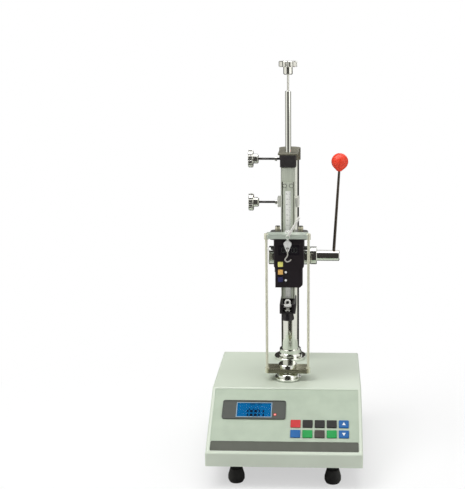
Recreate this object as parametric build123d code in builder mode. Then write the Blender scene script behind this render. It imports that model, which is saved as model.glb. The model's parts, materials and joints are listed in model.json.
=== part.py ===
"""A spring tester: a console that weighs, and a rack and pinion stand that presses or pulls a spring."""

import os
from math import acos, atan2, cos, degrees, hypot, pi, radians, sin, tan

from build123d import *

os.makedirs("parts", exist_ok=True)

# Frame: the origin is on the floor under the middle of the console, the front faces -Y, and up is +Z

# Clearances
seat_gap = 0.05  # a bore round what is clamped or pressed in it
slide_gap = 0.05  # a running fit, on each side
free_gap = 0.3  # round a key, a button or anything that must not touch

# Console
console_width = 280.0
console_depth = 340.0
console_height = 139.0
skirt_bottom = 40.0
skirt_height = 25.5
ledge_depth = 8.0
slope_run = 124.0
cover_wall = 2.5
cover_edge_radius = 3.0
inlet_flange = 2.0
front_y = -console_depth / 2
rear_y = console_depth / 2 - inlet_flange
ledge_z = skirt_bottom + skirt_height
slope_y = front_y + ledge_depth
slope_rise = console_height - ledge_z
slope_length = hypot(slope_run, slope_rise)
side_x = console_width / 2
panel = Plane(origin=(0, slope_y, ledge_z), x_dir=(1, 0, 0), z_dir=(0, -slope_rise, slope_run))

# Panel furniture, measured across and up the slope
recess_depth = 1.2
recess_margin = 6.0
recess_low = 1.0
recess_high = slope_length - 4.0
strip_height = 21.0
strip_thickness = 0.6
overlay_thickness = 0.6
bezel_margin = 23.0
bezel_width = side_x - bezel_margin
bezel_height = 42.0
bezel_thickness = 2.2
bezel_corner = 4.5
bezel_x = -bezel_width / 2
bezel_s = 91.5
window_width = 66.0
window_height = 34.0
window_thickness = 1.0
lcd_depth = 8.0
lcd_margin = 2.5
led_diameter = 3.0
led_x = bezel_x + 39.0
led_drop = 11.0
key_width = 18.2
key_height = 16.4
key_thickness = 1.7
key_pitch_x = 21.9
key_pitch_s = 22.2
key_columns = 5
key_margin = 33.5
key_first_x = side_x - key_margin - (key_columns - 1) * key_pitch_x
key_low_s = 39.1
key_travel = 0.5
key_lift = 0.15
key_stem_diameter = 5.0
key_hole_diameter = 6.0
key_stem_length = 4.0
board_thickness = 1.6
switch_side = 6.0
switch_height = 3.5

# Main board and transformer on the base plate
main_board_width = 104.0
main_board_depth = 74.0
main_board_x = 80.0 - side_x
main_board_y = front_y + 90.0
main_board_lift = 8.0
board_post_diameter = 6.0
board_post_inset = 6.5
relay_size = (26.0, 18.0)
relay_offset = (-20.0, 10.0)
chip_size = (20.0, 12.0)
chip_offset = (24.0, 14.0)
chip_height = 4.0
transformer_x = side_x - 56.0
transformer_y = 40.0
transformer_size = (52.0, 62.0, 14.0)
coil_size = (36.0, 50.0, 30.0)
coil_corner = 6.0

# Base plate, feet and what stands on the plate
plate_thickness = 3.0
plate_rim = 12.0
plate_rim_wall = 2.0
plate_bottom = skirt_bottom + 2.0
plate_top = plate_bottom + plate_thickness
foot_x = side_x - 53.0
foot_y = console_depth / 2 - 28.0
foot_diameter = 30.0
foot_top_diameter = 22.0
foot_height = 26.0
foot_rest_diameter = 25.0
foot_bulge_low = 5.0
foot_bulge_high = 12.0
foot_neck_diameter = 16.0
foot_neck_height = 6.0
foot_stud_diameter = 8.0
foot_boss_diameter = 16.0
foot_boss_height = 9.0
foot_stud_end = plate_top + foot_boss_height + 3.0
pedestal_width = 72.0
pedestal_depth = 60.0
pedestal_wall = 6.0
screw_shank = 4.0
side_screw_head = 7.5
side_screw_y = console_depth / 2 - 60.0
side_screw_z = plate_top + 6.0

# Load cell and its cap
test_y = 12.0  # the line of force is above the load cell's cap
cap_diameter = 50.6
cap_gap = 0.6
cap_step_diameter = 40.0
cap_top_diameter = 27.0
cap_rim_height = 4.5
cap_step_height = 6.0
cap_neck_height = 2.0
cap_dome_radius = 8.0
cap_height = 14.9
cap_stem_diameter = 20.0
cap_hole_diameter = 24.0
cell_width = 30.0
cell_height = 24.0
cell_length = 104.0
cell_overhang = 15.0
cell_drop = 19.0
cell_bore = 15.0

# Yoke
yoke_rod_x = 39.4
yoke_rod_y = test_y - 8.0
yoke_rod_diameter = 4.8
yoke_barrel_diameter = 8.0
yoke_barrel_overhang = 1.5
lower_bar_depth = 33.0
lower_bar_thickness = 8.0
lower_bar_bottom = console_height + cap_gap + cap_height
upper_bar_depth = 24.0
upper_bar_thickness = 8.5
upper_bar_bottom = 416.5
bar_corner = 3.0
shackle_bore = 4.4
lower_bar_top = lower_bar_bottom + lower_bar_thickness
upper_bar_top = upper_bar_bottom + upper_bar_thickness
upper_bar_front = test_y - upper_bar_depth / 2

# Platens
lower_platen_diameter = 35.5
lower_platen_height = 7.5
lower_platen_foot = 33.0
lower_platen_step = 0.8
upper_platen_diameter = 24.2
upper_platen_top = 20.4
upper_platen_height = 14.4
upper_platen_rim = 3.0
platen_stem_diameter = 8.0
platen_disc_diameter = 16.6
platen_disc_height = 3.0
platen_dome_diameter = 11.0
platen_dome_height = 3.8

# Column
column_y = 134.0
column_diameter = 36.0
column_wall = 4.0
column_top = 566.0
flange_diameter = 64.4
flange_height = 6.0
flange_step_diameter = 46.0
flange_dome_height = 7.0
flange_collar_diameter = 43.4
flange_collar_height = 8.0
flange_bolt_circle = 56.0
flange_screw_head = 6.0
flange_screw_height = 2.0

# Ram with its rack
ram_y = 52.5
ram_side = 25.0
ram_bottom = 291.0
ram_top = 544.5
rack_module = 1.5
rack_teeth_below = 5
rack_teeth_above = 15
pressure_angle = radians(20)
backlash = 0.24
rod_diameter = 11.0
overall_height = 740.5
rod_top = overall_height - 54.5
rod_spigot_diameter = 8.0
rod_spigot_depth = 14.0
ram_front = ram_y - ram_side / 2
ram_back = ram_y + ram_side / 2

# Pinion and lever
pinion_teeth = 24
pinion_width = 16.0
pinion_z = 367.2
shaft_diameter = 12.0
shaft_left = -34.0
shaft_right = 58.0
pitch_radius = rack_module * pinion_teeth / 2
pinion_y = ram_back - rack_module + pitch_radius
cap_round_diameter = 36.0
left_cap_x = -39.2
right_cap_x = 41.2
hub_diameter = 34.8
hub_x = 41.5
hub_length = 12.7
sleeve_diameter = 21.1
sleeve_end = 98.3
lever_foot_x = 86.6
lever_length = 184.0
lever_lean = 10.7
lever_diameter = 6.0
lever_tip_diameter = 4.6
ball_diameter = 32.3
ball_neck_diameter = 9.0
ball_neck_length = 2.0

# Head on the column
head_width = 52.0
head_bottom = 344.0
head_top = 413.5
head_front = 36.0
head_gear_clearance = 0.9
head_wall = 4.0
head_plate_width = 74.0
head_plate_front = 60.0
head_plate_thickness = 12.0
head_plate_corner = 11.0
clamp_diameter = 58.0
clamp_bottom = 350.0
clamp_top = 402.0
clamp_slit = 2.0
clamp_ear_width = 22.0
clamp_ear_depth = 11.0
clamp_screw_head = 10.0
post_x = 22.5
post_y = 90.0
post_diameter = 9.6
post_height = 10.0

# Scale beam and readout
beam_width = 18.0
beam_thickness = 3.5
beam_bottom = 292.0
beam_top = 518.0
beam_screw_x = 6.1
beam_screw_z = 511.0
beam_screw_head = 6.0
beam_screw_height = 2.2
beam_recess_width = 10.5
beam_recess_depth = 0.6
beam_recess_top = 502.0
readout_x = 2.0
readout_width = 57.0
readout_low_width = 52.0
readout_depth = 16.0
readout_bottom = 317.7
readout_step = 355.0
readout_top = 415.4
readout_step_chamfer = 4.0
readout_edge = 1.5
readout_window_width = 40.0
readout_window_height = 20.0
readout_window_z = 391.0
readout_window_depth = 1.2
readout_screw_x = -3.8
readout_screw_z = (348.1, 332.4)
readout_screw_diameter = 4.2
readout_screw_height = 1.0
button_side = 9.5
button_x = -14.0
button_z = {"yellow": 363.4, "orange": 348.4, "blue": 333.9}
button_proud = 1.4
button_travel = 0.6
button_pocket = 3.2
readout_front = head_front - readout_depth

# Top arm, block and lock screws
arm_width = 38.0
arm_plate = 3.0
arm_top = 571.4
arm_web = 16.0
arm_ring_diameter = 42.0
arm_ring_height = 23.0
block_width = 30.0
block_depth = 30.5
block_bottom = 545.6
lock_shaft_diameter = 4.0
lock_hub_x = -56.0
lock_hub_diameter = 18.0
lock_disc_x = -66.0
lock_disc_end = -75.0
lock_disc_diameter = 33.0
lock_scallops = 12
lock_ring_diameter = 8.0
lock_ring_length = 4.0
upper_lock_z = 559.8
lower_lock_z = 477.4
arm_bottom = arm_top - arm_plate

# Knob on the guide rod
knob_stud_diameter = 4.0
knob_stud_bottom = rod_top - 14.0
knob_hub_bottom = rod_top + 30.0
knob_hub_diameter = 17.5
knob_disc_bottom = knob_hub_bottom + 14.0
knob_disc_diameter = 34.4
knob_top = knob_disc_bottom + 10.5

# Stop collar on the ram
collar_width = 41.0
collar_height = 17.0
collar_bottom = 469.0
collar_front = 43.5
collar_back_wall = 8.0

# Hook bracket under the ram
bracket_height = 19.1
bracket_bottom = ram_bottom - bracket_height
bracket_floor = 2.2
bracket_width = 30.0
bracket_slot = 18.0
bracket_front = 0.5
bracket_cheek_depth = 35.0
bracket_cheek_top = ram_bottom
pin_diameter = 3.0
lower_hook_pin_z = bracket_bottom + 12.6
hook_eye_diameter = 6.6
hook_wire = 3.4
hook_radius = 4.4
hook_shank = 1.0

# Shackle, upper hook and latch
shackle_neck = 4.0
shackle_nut_diameter = 10.0
shackle_nut_height = 4.5
shackle_width = 15.0
shackle_thickness = 6.0
shackle_shoulder_z = 411.0
shackle_wide_z = 406.0
shackle_bottom = 390.0
shackle_hole = 5.2
shackle_hole_z = 396.2
j_wire = 2.4
hook_path = ((0, 0), (0, 3.0), (-1.4, 7.0), (-4.4, 10.8), (-3.8, 14.6), (-0.4, 16.2), (3.6, 15.0), (6.4, 11.6))
ring_radius = 4.9
ring_z = 391.6
latch_thickness = 3.2
latch_pivot_x = 1.0
latch_pivot_diameter = 3.4
latch_eye_diameter = 8.0
latch_arm_diameter = 4.6
latch_tip = (22.1, 457.8)

# Rear socket and switch
inlet_x = 56.0 - side_x
inlet_z = 78.0
inlet_width = 60.0
inlet_height = 32.0
inlet_body_depth = 26.0
socket_width = 24.0
socket_height = 16.6
socket_depth = 17.0
socket_x = inlet_x - 12.0
socket_pin = (1.6, 4.0, 12.0)
socket_pin_pitch = 7.0
rocker_width = 12.0
rocker_height = 19.0
rocker_depth = 9.0
rocker_x = inlet_x + 18.5
rocker_proud = 1.0
vent_count = 9
vent_width = 4.0
vent_height = 26.0
vent_pitch = 10.0
vent_x = side_x - 78.0


# The console's side outline, which the cover's outside and inside share
def side_outline(bottom):
    return [
        (front_y, bottom),
        (front_y, ledge_z),
        (slope_y, ledge_z),
        (slope_y + slope_run, console_height),
        (rear_y, console_height),
        (rear_y, bottom),
    ]


key_places = [
    (key_first_x + column * key_pitch_x, key_low_s + row * key_pitch_s)
    for row in (1, 0)
    for column in range(key_columns)
]
recess_width = console_width - 2 * recess_margin
display_hole_width = window_width + 2 * lcd_margin + 1
display_hole_height = window_height + 2 * lcd_margin + 1
cell_top = console_height - cell_drop
cell_front = test_y - cell_overhang
cell_bottom = cell_top - cell_height
pedestal_y = column_y
flange_bolts = [
    (flange_bolt_circle / 2 * cos(radians(angle)), column_y + flange_bolt_circle / 2 * sin(radians(angle)))
    for angle in (45, 135, 225, 315)
]

# Console cover, one folded and welded shell, open underneath
with BuildPart() as console_cover:
    with BuildSketch(Plane.YZ.offset(-side_x)):
        with BuildLine():
            Polyline(*side_outline(skirt_bottom), close=True)
        make_face()
    extrude(amount=console_width)
    outer_edges = console_cover.edges().filter_by(lambda e: e.center().Z > skirt_bottom + 1)
    fillet(outer_edges, cover_edge_radius)
    with BuildSketch(Plane.YZ.offset(-side_x + cover_wall)):
        with BuildLine():
            Polyline(*side_outline(skirt_bottom - 2 * cover_wall), close=True)
        make_face()
        offset(amount=-cover_wall, kind=Kind.INTERSECTION, mode=Mode.REPLACE)
    extrude(amount=console_width - 2 * cover_wall, mode=Mode.SUBTRACT)
    # the sunk field that the overlay is stuck into
    with BuildSketch(panel):
        with Locations((0, (recess_low + recess_high) / 2)):
            RectangleRounded(recess_width, recess_high - recess_low, 2)
    extrude(amount=-recess_depth, mode=Mode.SUBTRACT)
    # openings behind the display and under the keys
    with BuildSketch(panel):
        with Locations((bezel_x, bezel_s)):
            Rectangle(display_hole_width, display_hole_height)
        with Locations((led_x, bezel_s - led_drop)):
            Circle(led_diameter / 2 + free_gap)
        with Locations(*key_places):
            Circle(key_hole_diameter / 2)
    extrude(amount=-3 * cover_wall, mode=Mode.SUBTRACT)
    # holes in the top for the load cell's stem and the column's bolts
    with BuildSketch(Plane.XY.offset(console_height)):
        with Locations((0, test_y)):
            Circle(cap_hole_diameter / 2)
        with Locations(*flange_bolts):
            Circle(screw_shank / 2 + free_gap)
    extrude(amount=-2 * cover_wall, mode=Mode.SUBTRACT)
    # rear openings for the power socket and the air slots
    with BuildSketch(Plane.XZ.offset(-rear_y)):
        with Locations((inlet_x, inlet_z)):
            Rectangle(inlet_width - 6, inlet_height - 6)
        with Locations((vent_x, inlet_z)):
            with GridLocations(vent_pitch, 1, vent_count, 1):
                SlotOverall(vent_height, vent_width, rotation=90)
    extrude(amount=2 * cover_wall, mode=Mode.SUBTRACT)
    # countersunk holes for the side screws
    for side in (-1, 1):
        for y in (-side_screw_y, side_screw_y):
            with Locations(Plane((side * side_x, y, side_screw_z), x_dir=(0, 1, 0), z_dir=(side, 0, 0))):
                CounterSinkHole(screw_shank / 2 + slide_gap, side_screw_head / 2 + slide_gap, 2 * cover_wall)
console_cover.part.label = "console_cover"
export_step(console_cover.part, "parts/console_cover.step")

# Base plate: a shallow tray with the column's pedestal, the load cell's post and the foot bosses
tray_x = side_x - cover_wall - seat_gap
tray_front = front_y + cover_wall + seat_gap
tray_rear = rear_y - cover_wall - seat_gap
foot_places = [(sx * foot_x, sy * foot_y) for sy in (-1, 1) for sx in (-1, 1)]
with BuildPart() as base_plate:
    with BuildSketch(Plane.XY.offset(plate_bottom)):
        with Locations((0, (tray_front + tray_rear) / 2)):
            Rectangle(2 * tray_x, tray_rear - tray_front)
    extrude(amount=plate_rim)
    with BuildSketch(Plane.XY.offset(plate_top)):
        with Locations((0, (tray_front + tray_rear) / 2)):
            Rectangle(2 * (tray_x - plate_rim_wall), tray_rear - tray_front - 2 * plate_rim_wall)
    extrude(amount=plate_rim, mode=Mode.SUBTRACT)
    with BuildSketch(Plane.XY.offset(plate_top)):
        with Locations((0, pedestal_y)):
            Rectangle(pedestal_width, pedestal_depth)
    extrude(amount=console_height - cover_wall - plate_top)
    with BuildSketch(Plane.XY.offset(plate_top)):
        with Locations((0, pedestal_y)):
            Rectangle(pedestal_width - 2 * pedestal_wall, pedestal_depth - 2 * pedestal_wall)
    extrude(amount=console_height - cover_wall - plate_top - 2 * pedestal_wall, mode=Mode.SUBTRACT)
    with BuildSketch(Plane.XY.offset(plate_top)):
        with Locations((0, cell_front + cell_length - cell_overhang)):
            Rectangle(cell_width + 4, 2 * cell_overhang)
    extrude(amount=cell_bottom - plate_top)
    with BuildSketch(Plane.XY.offset(plate_top)):
        with Locations(*foot_places):
            Circle(foot_boss_diameter / 2)
    extrude(amount=foot_boss_height)
    with Locations(*[(x, y, plate_top + foot_boss_height) for x, y in foot_places]):
        Hole(foot_stud_diameter / 2 + slide_gap)
    with Locations(*[(x, y, console_height - cover_wall) for x, y in flange_bolts]):
        Hole(screw_shank / 2 + seat_gap, 2 * pedestal_wall)
    for side in (-1, 1):
        for y in (-side_screw_y, side_screw_y):
            with Locations(Plane((side * tray_x, y, side_screw_z), x_dir=(0, 1, 0), z_dir=(side, 0, 0))):
                Hole(screw_shank / 2 + seat_gap, 2 * plate_rim_wall)
base_plate.part.label = "base_plate"
export_step(base_plate.part, "parts/base_plate.step")

# Levelling feet: a rubber cone moulded on a threaded stud
foot_names = ("foot_front_left", "foot_front_right", "foot_rear_left", "foot_rear_right")
for (x, y), node in zip(foot_places, foot_names):
    with BuildPart() as foot:
        with BuildSketch(Plane((x, y, 0), x_dir=(1, 0, 0), z_dir=(0, -1, 0))):
            with BuildLine():
                Polyline(
                    (0, 0),
                    (foot_rest_diameter / 2, 0),
                    (foot_diameter / 2, foot_bulge_low),
                    (foot_diameter / 2, foot_bulge_high),
                    (foot_top_diameter / 2, foot_height),
                    (foot_neck_diameter / 2, foot_height),
                    (foot_neck_diameter / 2, foot_height + foot_neck_height),
                    (foot_stud_diameter / 2, foot_height + foot_neck_height),
                    (foot_stud_diameter / 2, foot_stud_end),
                    (0, foot_stud_end),
                    close=True,
                )
            make_face()
        revolve(axis=Axis((x, y, 0), (0, 0, 1)))
        for height, radius in ((foot_bulge_low, 3.0), (foot_bulge_high, 6.0), (foot_height, 1.5)):
            ring = foot.edges().filter_by(lambda e: abs(e.center().Z - height) < 0.01)
            fillet(ring.sort_by(Edge.length)[-1], radius)
    foot.part.label = node
    export_step(foot.part, f"parts/{node}.step")

# Flush screws through the cover's sides, and the two small screws on the readout's face
with BuildPart() as small_screws:
    for side in (-1, 1):
        for y in (-side_screw_y, side_screw_y):
            cone = (side_screw_head - screw_shank) / 2
            with BuildSketch(Plane((0, y, side_screw_z), x_dir=(side, 0, 0), z_dir=(0, -1, 0))):
                with BuildLine():
                    Polyline(
                        (side_x, 0),
                        (side_x, side_screw_head / 2),
                        (side_x - cone, screw_shank / 2),
                        (side_x - 8, screw_shank / 2),
                        (side_x - 8, 0),
                        close=True,
                    )
                make_face()
            revolve(axis=Axis((0, y, side_screw_z), (side, 0, 0)))
    with BuildSketch(Plane.XZ.offset(-readout_front)):
        with Locations(*[(readout_screw_x, z) for z in readout_screw_z]):
            Circle(readout_screw_diameter / 2)
    extrude(amount=readout_screw_height)
small_screws.part.label = "small_screws"
export_step(small_screws.part, "parts/small_screws.step")

# Overlay sheet in the sunk field, with windows for the display and each key
strip_top = recess_low + free_gap + strip_height
with BuildPart() as panel_overlay:
    with BuildSketch(panel.offset(-recess_depth)):
        with Locations((0, (strip_top + free_gap + recess_high - free_gap) / 2)):
            RectangleRounded(recess_width - 2 * free_gap, recess_high - strip_top - 2 * free_gap, 2)
        with Locations((bezel_x, bezel_s)):
            Rectangle(display_hole_width, display_hole_height, mode=Mode.SUBTRACT)
        with Locations((led_x, bezel_s - led_drop)):
            Circle(led_diameter / 2 + free_gap, mode=Mode.SUBTRACT)
        with Locations(*key_places):
            Rectangle(key_width + 2 * free_gap, key_height + 2 * free_gap, mode=Mode.SUBTRACT)
    extrude(amount=overlay_thickness)
panel_overlay.part.label = "panel_overlay"
export_step(panel_overlay.part, "parts/panel_overlay.step")

# Dark strip along the foot of the slope
with BuildPart() as trim_strip:
    with BuildSketch(panel.offset(-recess_depth)):
        with Locations((0, recess_low + free_gap + strip_height / 2)):
            RectangleRounded(recess_width - 2 * free_gap - 2, strip_height, 3)
    extrude(amount=strip_thickness)
trim_strip.part.label = "trim_strip"
export_step(trim_strip.part, "parts/trim_strip.step")

# Display bezel: a raised frame round a sunk face with the display's window in it
bezel_plane = panel.offset(-recess_depth + overlay_thickness)
with BuildPart() as display_bezel:
    with BuildSketch(bezel_plane):
        with Locations((bezel_x, bezel_s)):
            RectangleRounded(bezel_width, bezel_height, bezel_corner)
    extrude(amount=bezel_thickness)
    with BuildSketch(bezel_plane.offset(bezel_thickness)):
        with Locations((bezel_x, bezel_s)):
            RectangleRounded(bezel_width - 4, bezel_height - 4, bezel_corner - 2)
    extrude(amount=-0.8, mode=Mode.SUBTRACT)
    with BuildSketch(bezel_plane):
        with Locations((bezel_x, bezel_s)):
            Rectangle(window_width, window_height)
        with Locations((led_x, bezel_s - led_drop)):
            Circle(led_diameter / 2 + seat_gap)
    extrude(amount=bezel_thickness, mode=Mode.SUBTRACT)
display_bezel.part.label = "display_bezel"
export_step(display_bezel.part, "parts/display_bezel.step")

# Display window, which rests on the display module
with BuildPart() as lcd_window:
    with BuildSketch(bezel_plane):
        with Locations((bezel_x, bezel_s)):
            Rectangle(window_width - 2 * seat_gap, window_height - 2 * seat_gap)
    extrude(amount=window_thickness)
lcd_window.part.label = "lcd_window"
export_step(lcd_window.part, "parts/lcd_window.step")

# Display module, with the small lamp beside it on the same board
with BuildPart() as lcd_module:
    with BuildSketch(bezel_plane):
        with Locations((bezel_x, bezel_s)):
            Rectangle(window_width + 2 * lcd_margin, window_height + 2 * lcd_margin)
    extrude(amount=-lcd_depth)
    with BuildSketch(bezel_plane.offset(-lcd_depth)):
        with Locations((bezel_x + 6, bezel_s)):
            Rectangle(window_width + 30, window_height + 6)
    extrude(amount=-board_thickness)
    with BuildSketch(bezel_plane.offset(-lcd_depth)):
        with Locations((led_x, bezel_s - led_drop)):
            Circle(led_diameter / 2)
    extrude(amount=lcd_depth + 1.6)
lcd_module.part.label = "lcd_module"
export_step(lcd_module.part, "parts/lcd_module.step")

# Ten keys, five across in two rows, each on its own stem
key_bottom = -recess_depth + key_travel + key_lift
key_names = [f"key_{row}_{column + 1}" for row in ("top", "low") for column in range(key_columns)]
for place, node in zip(key_places, key_names):
    with BuildPart() as key:
        with BuildSketch(panel.offset(key_bottom)):
            with Locations(place):
                RectangleRounded(key_width, key_height, 1.5)
        extrude(amount=key_thickness)
        fillet(key.faces().sort_by(SortBy.AREA)[-2:].sort_by(Axis.Z)[-1].edges(), 0.5)
        with BuildSketch(panel.offset(key_bottom)):
            with Locations(place):
                Circle(key_stem_diameter / 2)
        extrude(amount=-key_stem_length)
    key.part.label = node
    export_step(key.part, f"parts/{node}.step")

# Circuit boards: the keypad's board with its ten switches, the main board, and the mains transformer
switch_top = key_bottom - key_stem_length - key_travel - key_lift
keypad_bottom = switch_top - switch_height
keypad_x = key_first_x + (key_columns - 1) * key_pitch_x / 2
keypad_s = key_low_s + key_pitch_s / 2
with BuildPart() as circuit_boards:
    with BuildSketch(panel.offset(keypad_bottom)):
        with Locations((keypad_x, keypad_s)):
            Rectangle((key_columns - 1) * key_pitch_x + key_width, key_pitch_s + key_height + 4)
    extrude(amount=-board_thickness)
    with BuildSketch(panel.offset(keypad_bottom)):
        with Locations(*key_places):
            Rectangle(switch_side, switch_side)
    extrude(amount=switch_height)
    with BuildSketch(panel.offset(keypad_bottom)):
        with Locations((keypad_x, keypad_s)):
            with GridLocations((key_columns - 1) * key_pitch_x + 11, key_pitch_s + key_height - 1, 2, 2):
                Circle(2)
    extrude(amount=-cover_wall - keypad_bottom)
    with BuildSketch(Plane.XY.offset(plate_top)):
        with Locations((main_board_x, main_board_y)):
            with GridLocations(
                main_board_width - 2 * board_post_inset, main_board_depth - 2 * board_post_inset, 2, 2
            ):
                Circle(board_post_diameter / 2)
    extrude(amount=main_board_lift)
    with BuildSketch(Plane.XY.offset(plate_top + main_board_lift)):
        with Locations((main_board_x, main_board_y)):
            Rectangle(main_board_width, main_board_depth)
    extrude(amount=board_thickness)
    with BuildSketch(Plane.XY.offset(plate_top + main_board_lift + board_thickness)):
        for size, offset_xy in ((relay_size, relay_offset), (chip_size, chip_offset)):
            with Locations((main_board_x + offset_xy[0], main_board_y + offset_xy[1])):
                Rectangle(*size)
    extrude(amount=chip_height)
    with BuildSketch(Plane.XY.offset(plate_top)):
        with Locations((transformer_x, transformer_y)):
            Rectangle(transformer_size[0], transformer_size[1])
    extrude(amount=transformer_size[2])
    with BuildSketch(Plane.XY.offset(plate_top + transformer_size[2])):
        with Locations((transformer_x, transformer_y)):
            RectangleRounded(coil_size[0], coil_size[1], coil_corner)
    extrude(amount=coil_size[2])
circuit_boards.part.label = "circuit_boards"
export_step(circuit_boards.part, "parts/circuit_boards.step")

# Load cell: a bending beam with twin bores, fixed at the rear and loaded at the front
with BuildPart() as load_cell:
    with BuildSketch(Plane.XY.offset(cell_bottom)):
        with Locations((0, cell_front + cell_length / 2)):
            Rectangle(cell_width, cell_length)
    extrude(amount=cell_height)
    cell_middle = cell_front + cell_length / 2
    with BuildSketch(Plane.YZ.offset(-cell_width / 2)):
        with Locations((cell_middle, cell_bottom + cell_height / 2)):
            Rectangle(cell_bore * 1.4, 4)
            with GridLocations(cell_bore * 1.4, 1, 2, 1):
                Circle(cell_bore / 2)
    extrude(amount=cell_width, mode=Mode.SUBTRACT)
load_cell.part.label = "load_cell"
export_step(load_cell.part, "parts/load_cell.step")

# Cap that carries the yoke, with its stem down to the load cell
cap_bottom = console_height + cap_gap
with BuildPart() as load_cap:
    with BuildSketch(Plane.XZ.offset(-test_y)):
        with BuildLine():
            Polyline(
                (0, cell_top),
                (cap_stem_diameter / 2, cell_top),
                (cap_stem_diameter / 2, cap_bottom),
                (cap_diameter / 2, cap_bottom),
                (cap_diameter / 2, cap_bottom + cap_rim_height),
                (cap_step_diameter / 2, cap_bottom + cap_rim_height),
                (cap_step_diameter / 2, cap_bottom + cap_step_height),
            )
            RadiusArc(
                (cap_step_diameter / 2, cap_bottom + cap_step_height),
                (cap_top_diameter / 2, lower_bar_bottom - cap_neck_height),
                -cap_dome_radius,
            )
            Polyline(
                (cap_top_diameter / 2, lower_bar_bottom - cap_neck_height),
                (cap_top_diameter / 2, lower_bar_bottom),
                (0, lower_bar_bottom),
                (0, cell_top),
            )
        make_face()
    revolve(axis=Axis((0, test_y, 0), (0, 0, 1)))
    rims = load_cap.edges().filter_by(GeomType.CIRCLE).filter_by(
        lambda e: min(abs(e.center().Z - cap_bottom), abs(e.center().Z - cap_bottom - cap_rim_height)) < 0.01
    )
    fillet(rims.sort_by(Edge.length)[-2:], 1.2)
load_cap.part.label = "load_cap"
export_step(load_cap.part, "parts/load_cap.step")

# Yoke: two bars whose ends are cut round to take the barrels of the side rods
for node, bottom, thickness, depth in (
    ("lower_crossbar", lower_bar_bottom, lower_bar_thickness, lower_bar_depth),
    ("upper_crossbar", upper_bar_bottom, upper_bar_thickness, upper_bar_depth),
):
    with BuildPart() as crossbar:
        with BuildSketch(Plane.XY.offset(bottom)):
            with Locations((0, test_y)):
                RectangleRounded(2 * yoke_rod_x, depth, bar_corner)
            with Locations((-yoke_rod_x, yoke_rod_y), (yoke_rod_x, yoke_rod_y)):
                Circle(yoke_barrel_diameter / 2 + seat_gap, mode=Mode.SUBTRACT)
            if node == "upper_crossbar":
                with Locations((0, test_y)):
                    Circle(shackle_bore / 2, mode=Mode.SUBTRACT)
        extrude(amount=thickness)
        if node == "upper_crossbar":
            # the latch turns on a shouldered pin on the front face
            with BuildSketch(Plane.XZ.offset(-upper_bar_front)):
                with Locations((latch_pivot_x, bottom + thickness / 2)):
                    Circle(latch_pivot_diameter / 2)
            extrude(amount=latch_thickness + 2 * free_gap)
            with BuildSketch(Plane.XZ.offset(-upper_bar_front + latch_thickness + 2 * free_gap)):
                with Locations((latch_pivot_x, bottom + thickness / 2)):
                    Circle(latch_eye_diameter / 2 - 1)
            extrude(amount=1.4)
    crossbar.part.label = node
    export_step(crossbar.part, f"parts/{node}.step")

# Two side rods with a barrel at each end
with BuildPart() as side_rods:
    with BuildSketch(Plane.XY.offset(lower_bar_top)):
        with Locations((-yoke_rod_x, yoke_rod_y), (yoke_rod_x, yoke_rod_y)):
            Circle(yoke_rod_diameter / 2)
    extrude(amount=upper_bar_bottom - lower_bar_top)
    for bottom, thickness in (
        (lower_bar_bottom, lower_bar_thickness),
        (upper_bar_bottom, upper_bar_thickness),
    ):
        with BuildSketch(Plane.XY.offset(bottom - yoke_barrel_overhang)):
            with Locations((-yoke_rod_x, yoke_rod_y), (yoke_rod_x, yoke_rod_y)):
                Circle(yoke_barrel_diameter / 2)
        extrude(amount=thickness + 2 * yoke_barrel_overhang)
    ends = side_rods.edges().filter_by(GeomType.CIRCLE).group_by(Axis.Z)
    fillet(ends[0] + ends[-1], 1.2)
side_rods.part.label = "side_rods"
export_step(side_rods.part, "parts/side_rods.step")

# Lower platen on the yoke
lower_platen_top = lower_bar_top + lower_platen_height
with BuildPart() as lower_platen:
    with BuildSketch(Plane.XZ.offset(-test_y)):
        with BuildLine():
            Polyline(
                (0, lower_bar_top),
                (lower_platen_foot / 2, lower_bar_top),
                (lower_platen_foot / 2, lower_bar_top + lower_platen_step),
                (lower_platen_diameter / 2, lower_bar_top + lower_platen_step),
                (lower_platen_diameter / 2, lower_platen_top),
                (0, lower_platen_top),
                close=True,
            )
        make_face()
    revolve(axis=Axis((0, test_y, 0), (0, 0, 1)))
    chamfer(lower_platen.edges().group_by(Axis.Z)[-1], 0.8)
lower_platen.part.label = "lower_platen"
export_step(lower_platen.part, "parts/lower_platen.step")

# Column and its stepped flange
with BuildPart() as column:
    with BuildSketch(Plane.XY.offset(console_height)):
        with Locations((0, column_y)):
            Circle(column_diameter / 2)
            Circle(column_diameter / 2 - column_wall, mode=Mode.SUBTRACT)
    extrude(amount=column_top - console_height)
column.part.label = "column"
export_step(column.part, "parts/column.step")

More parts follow.
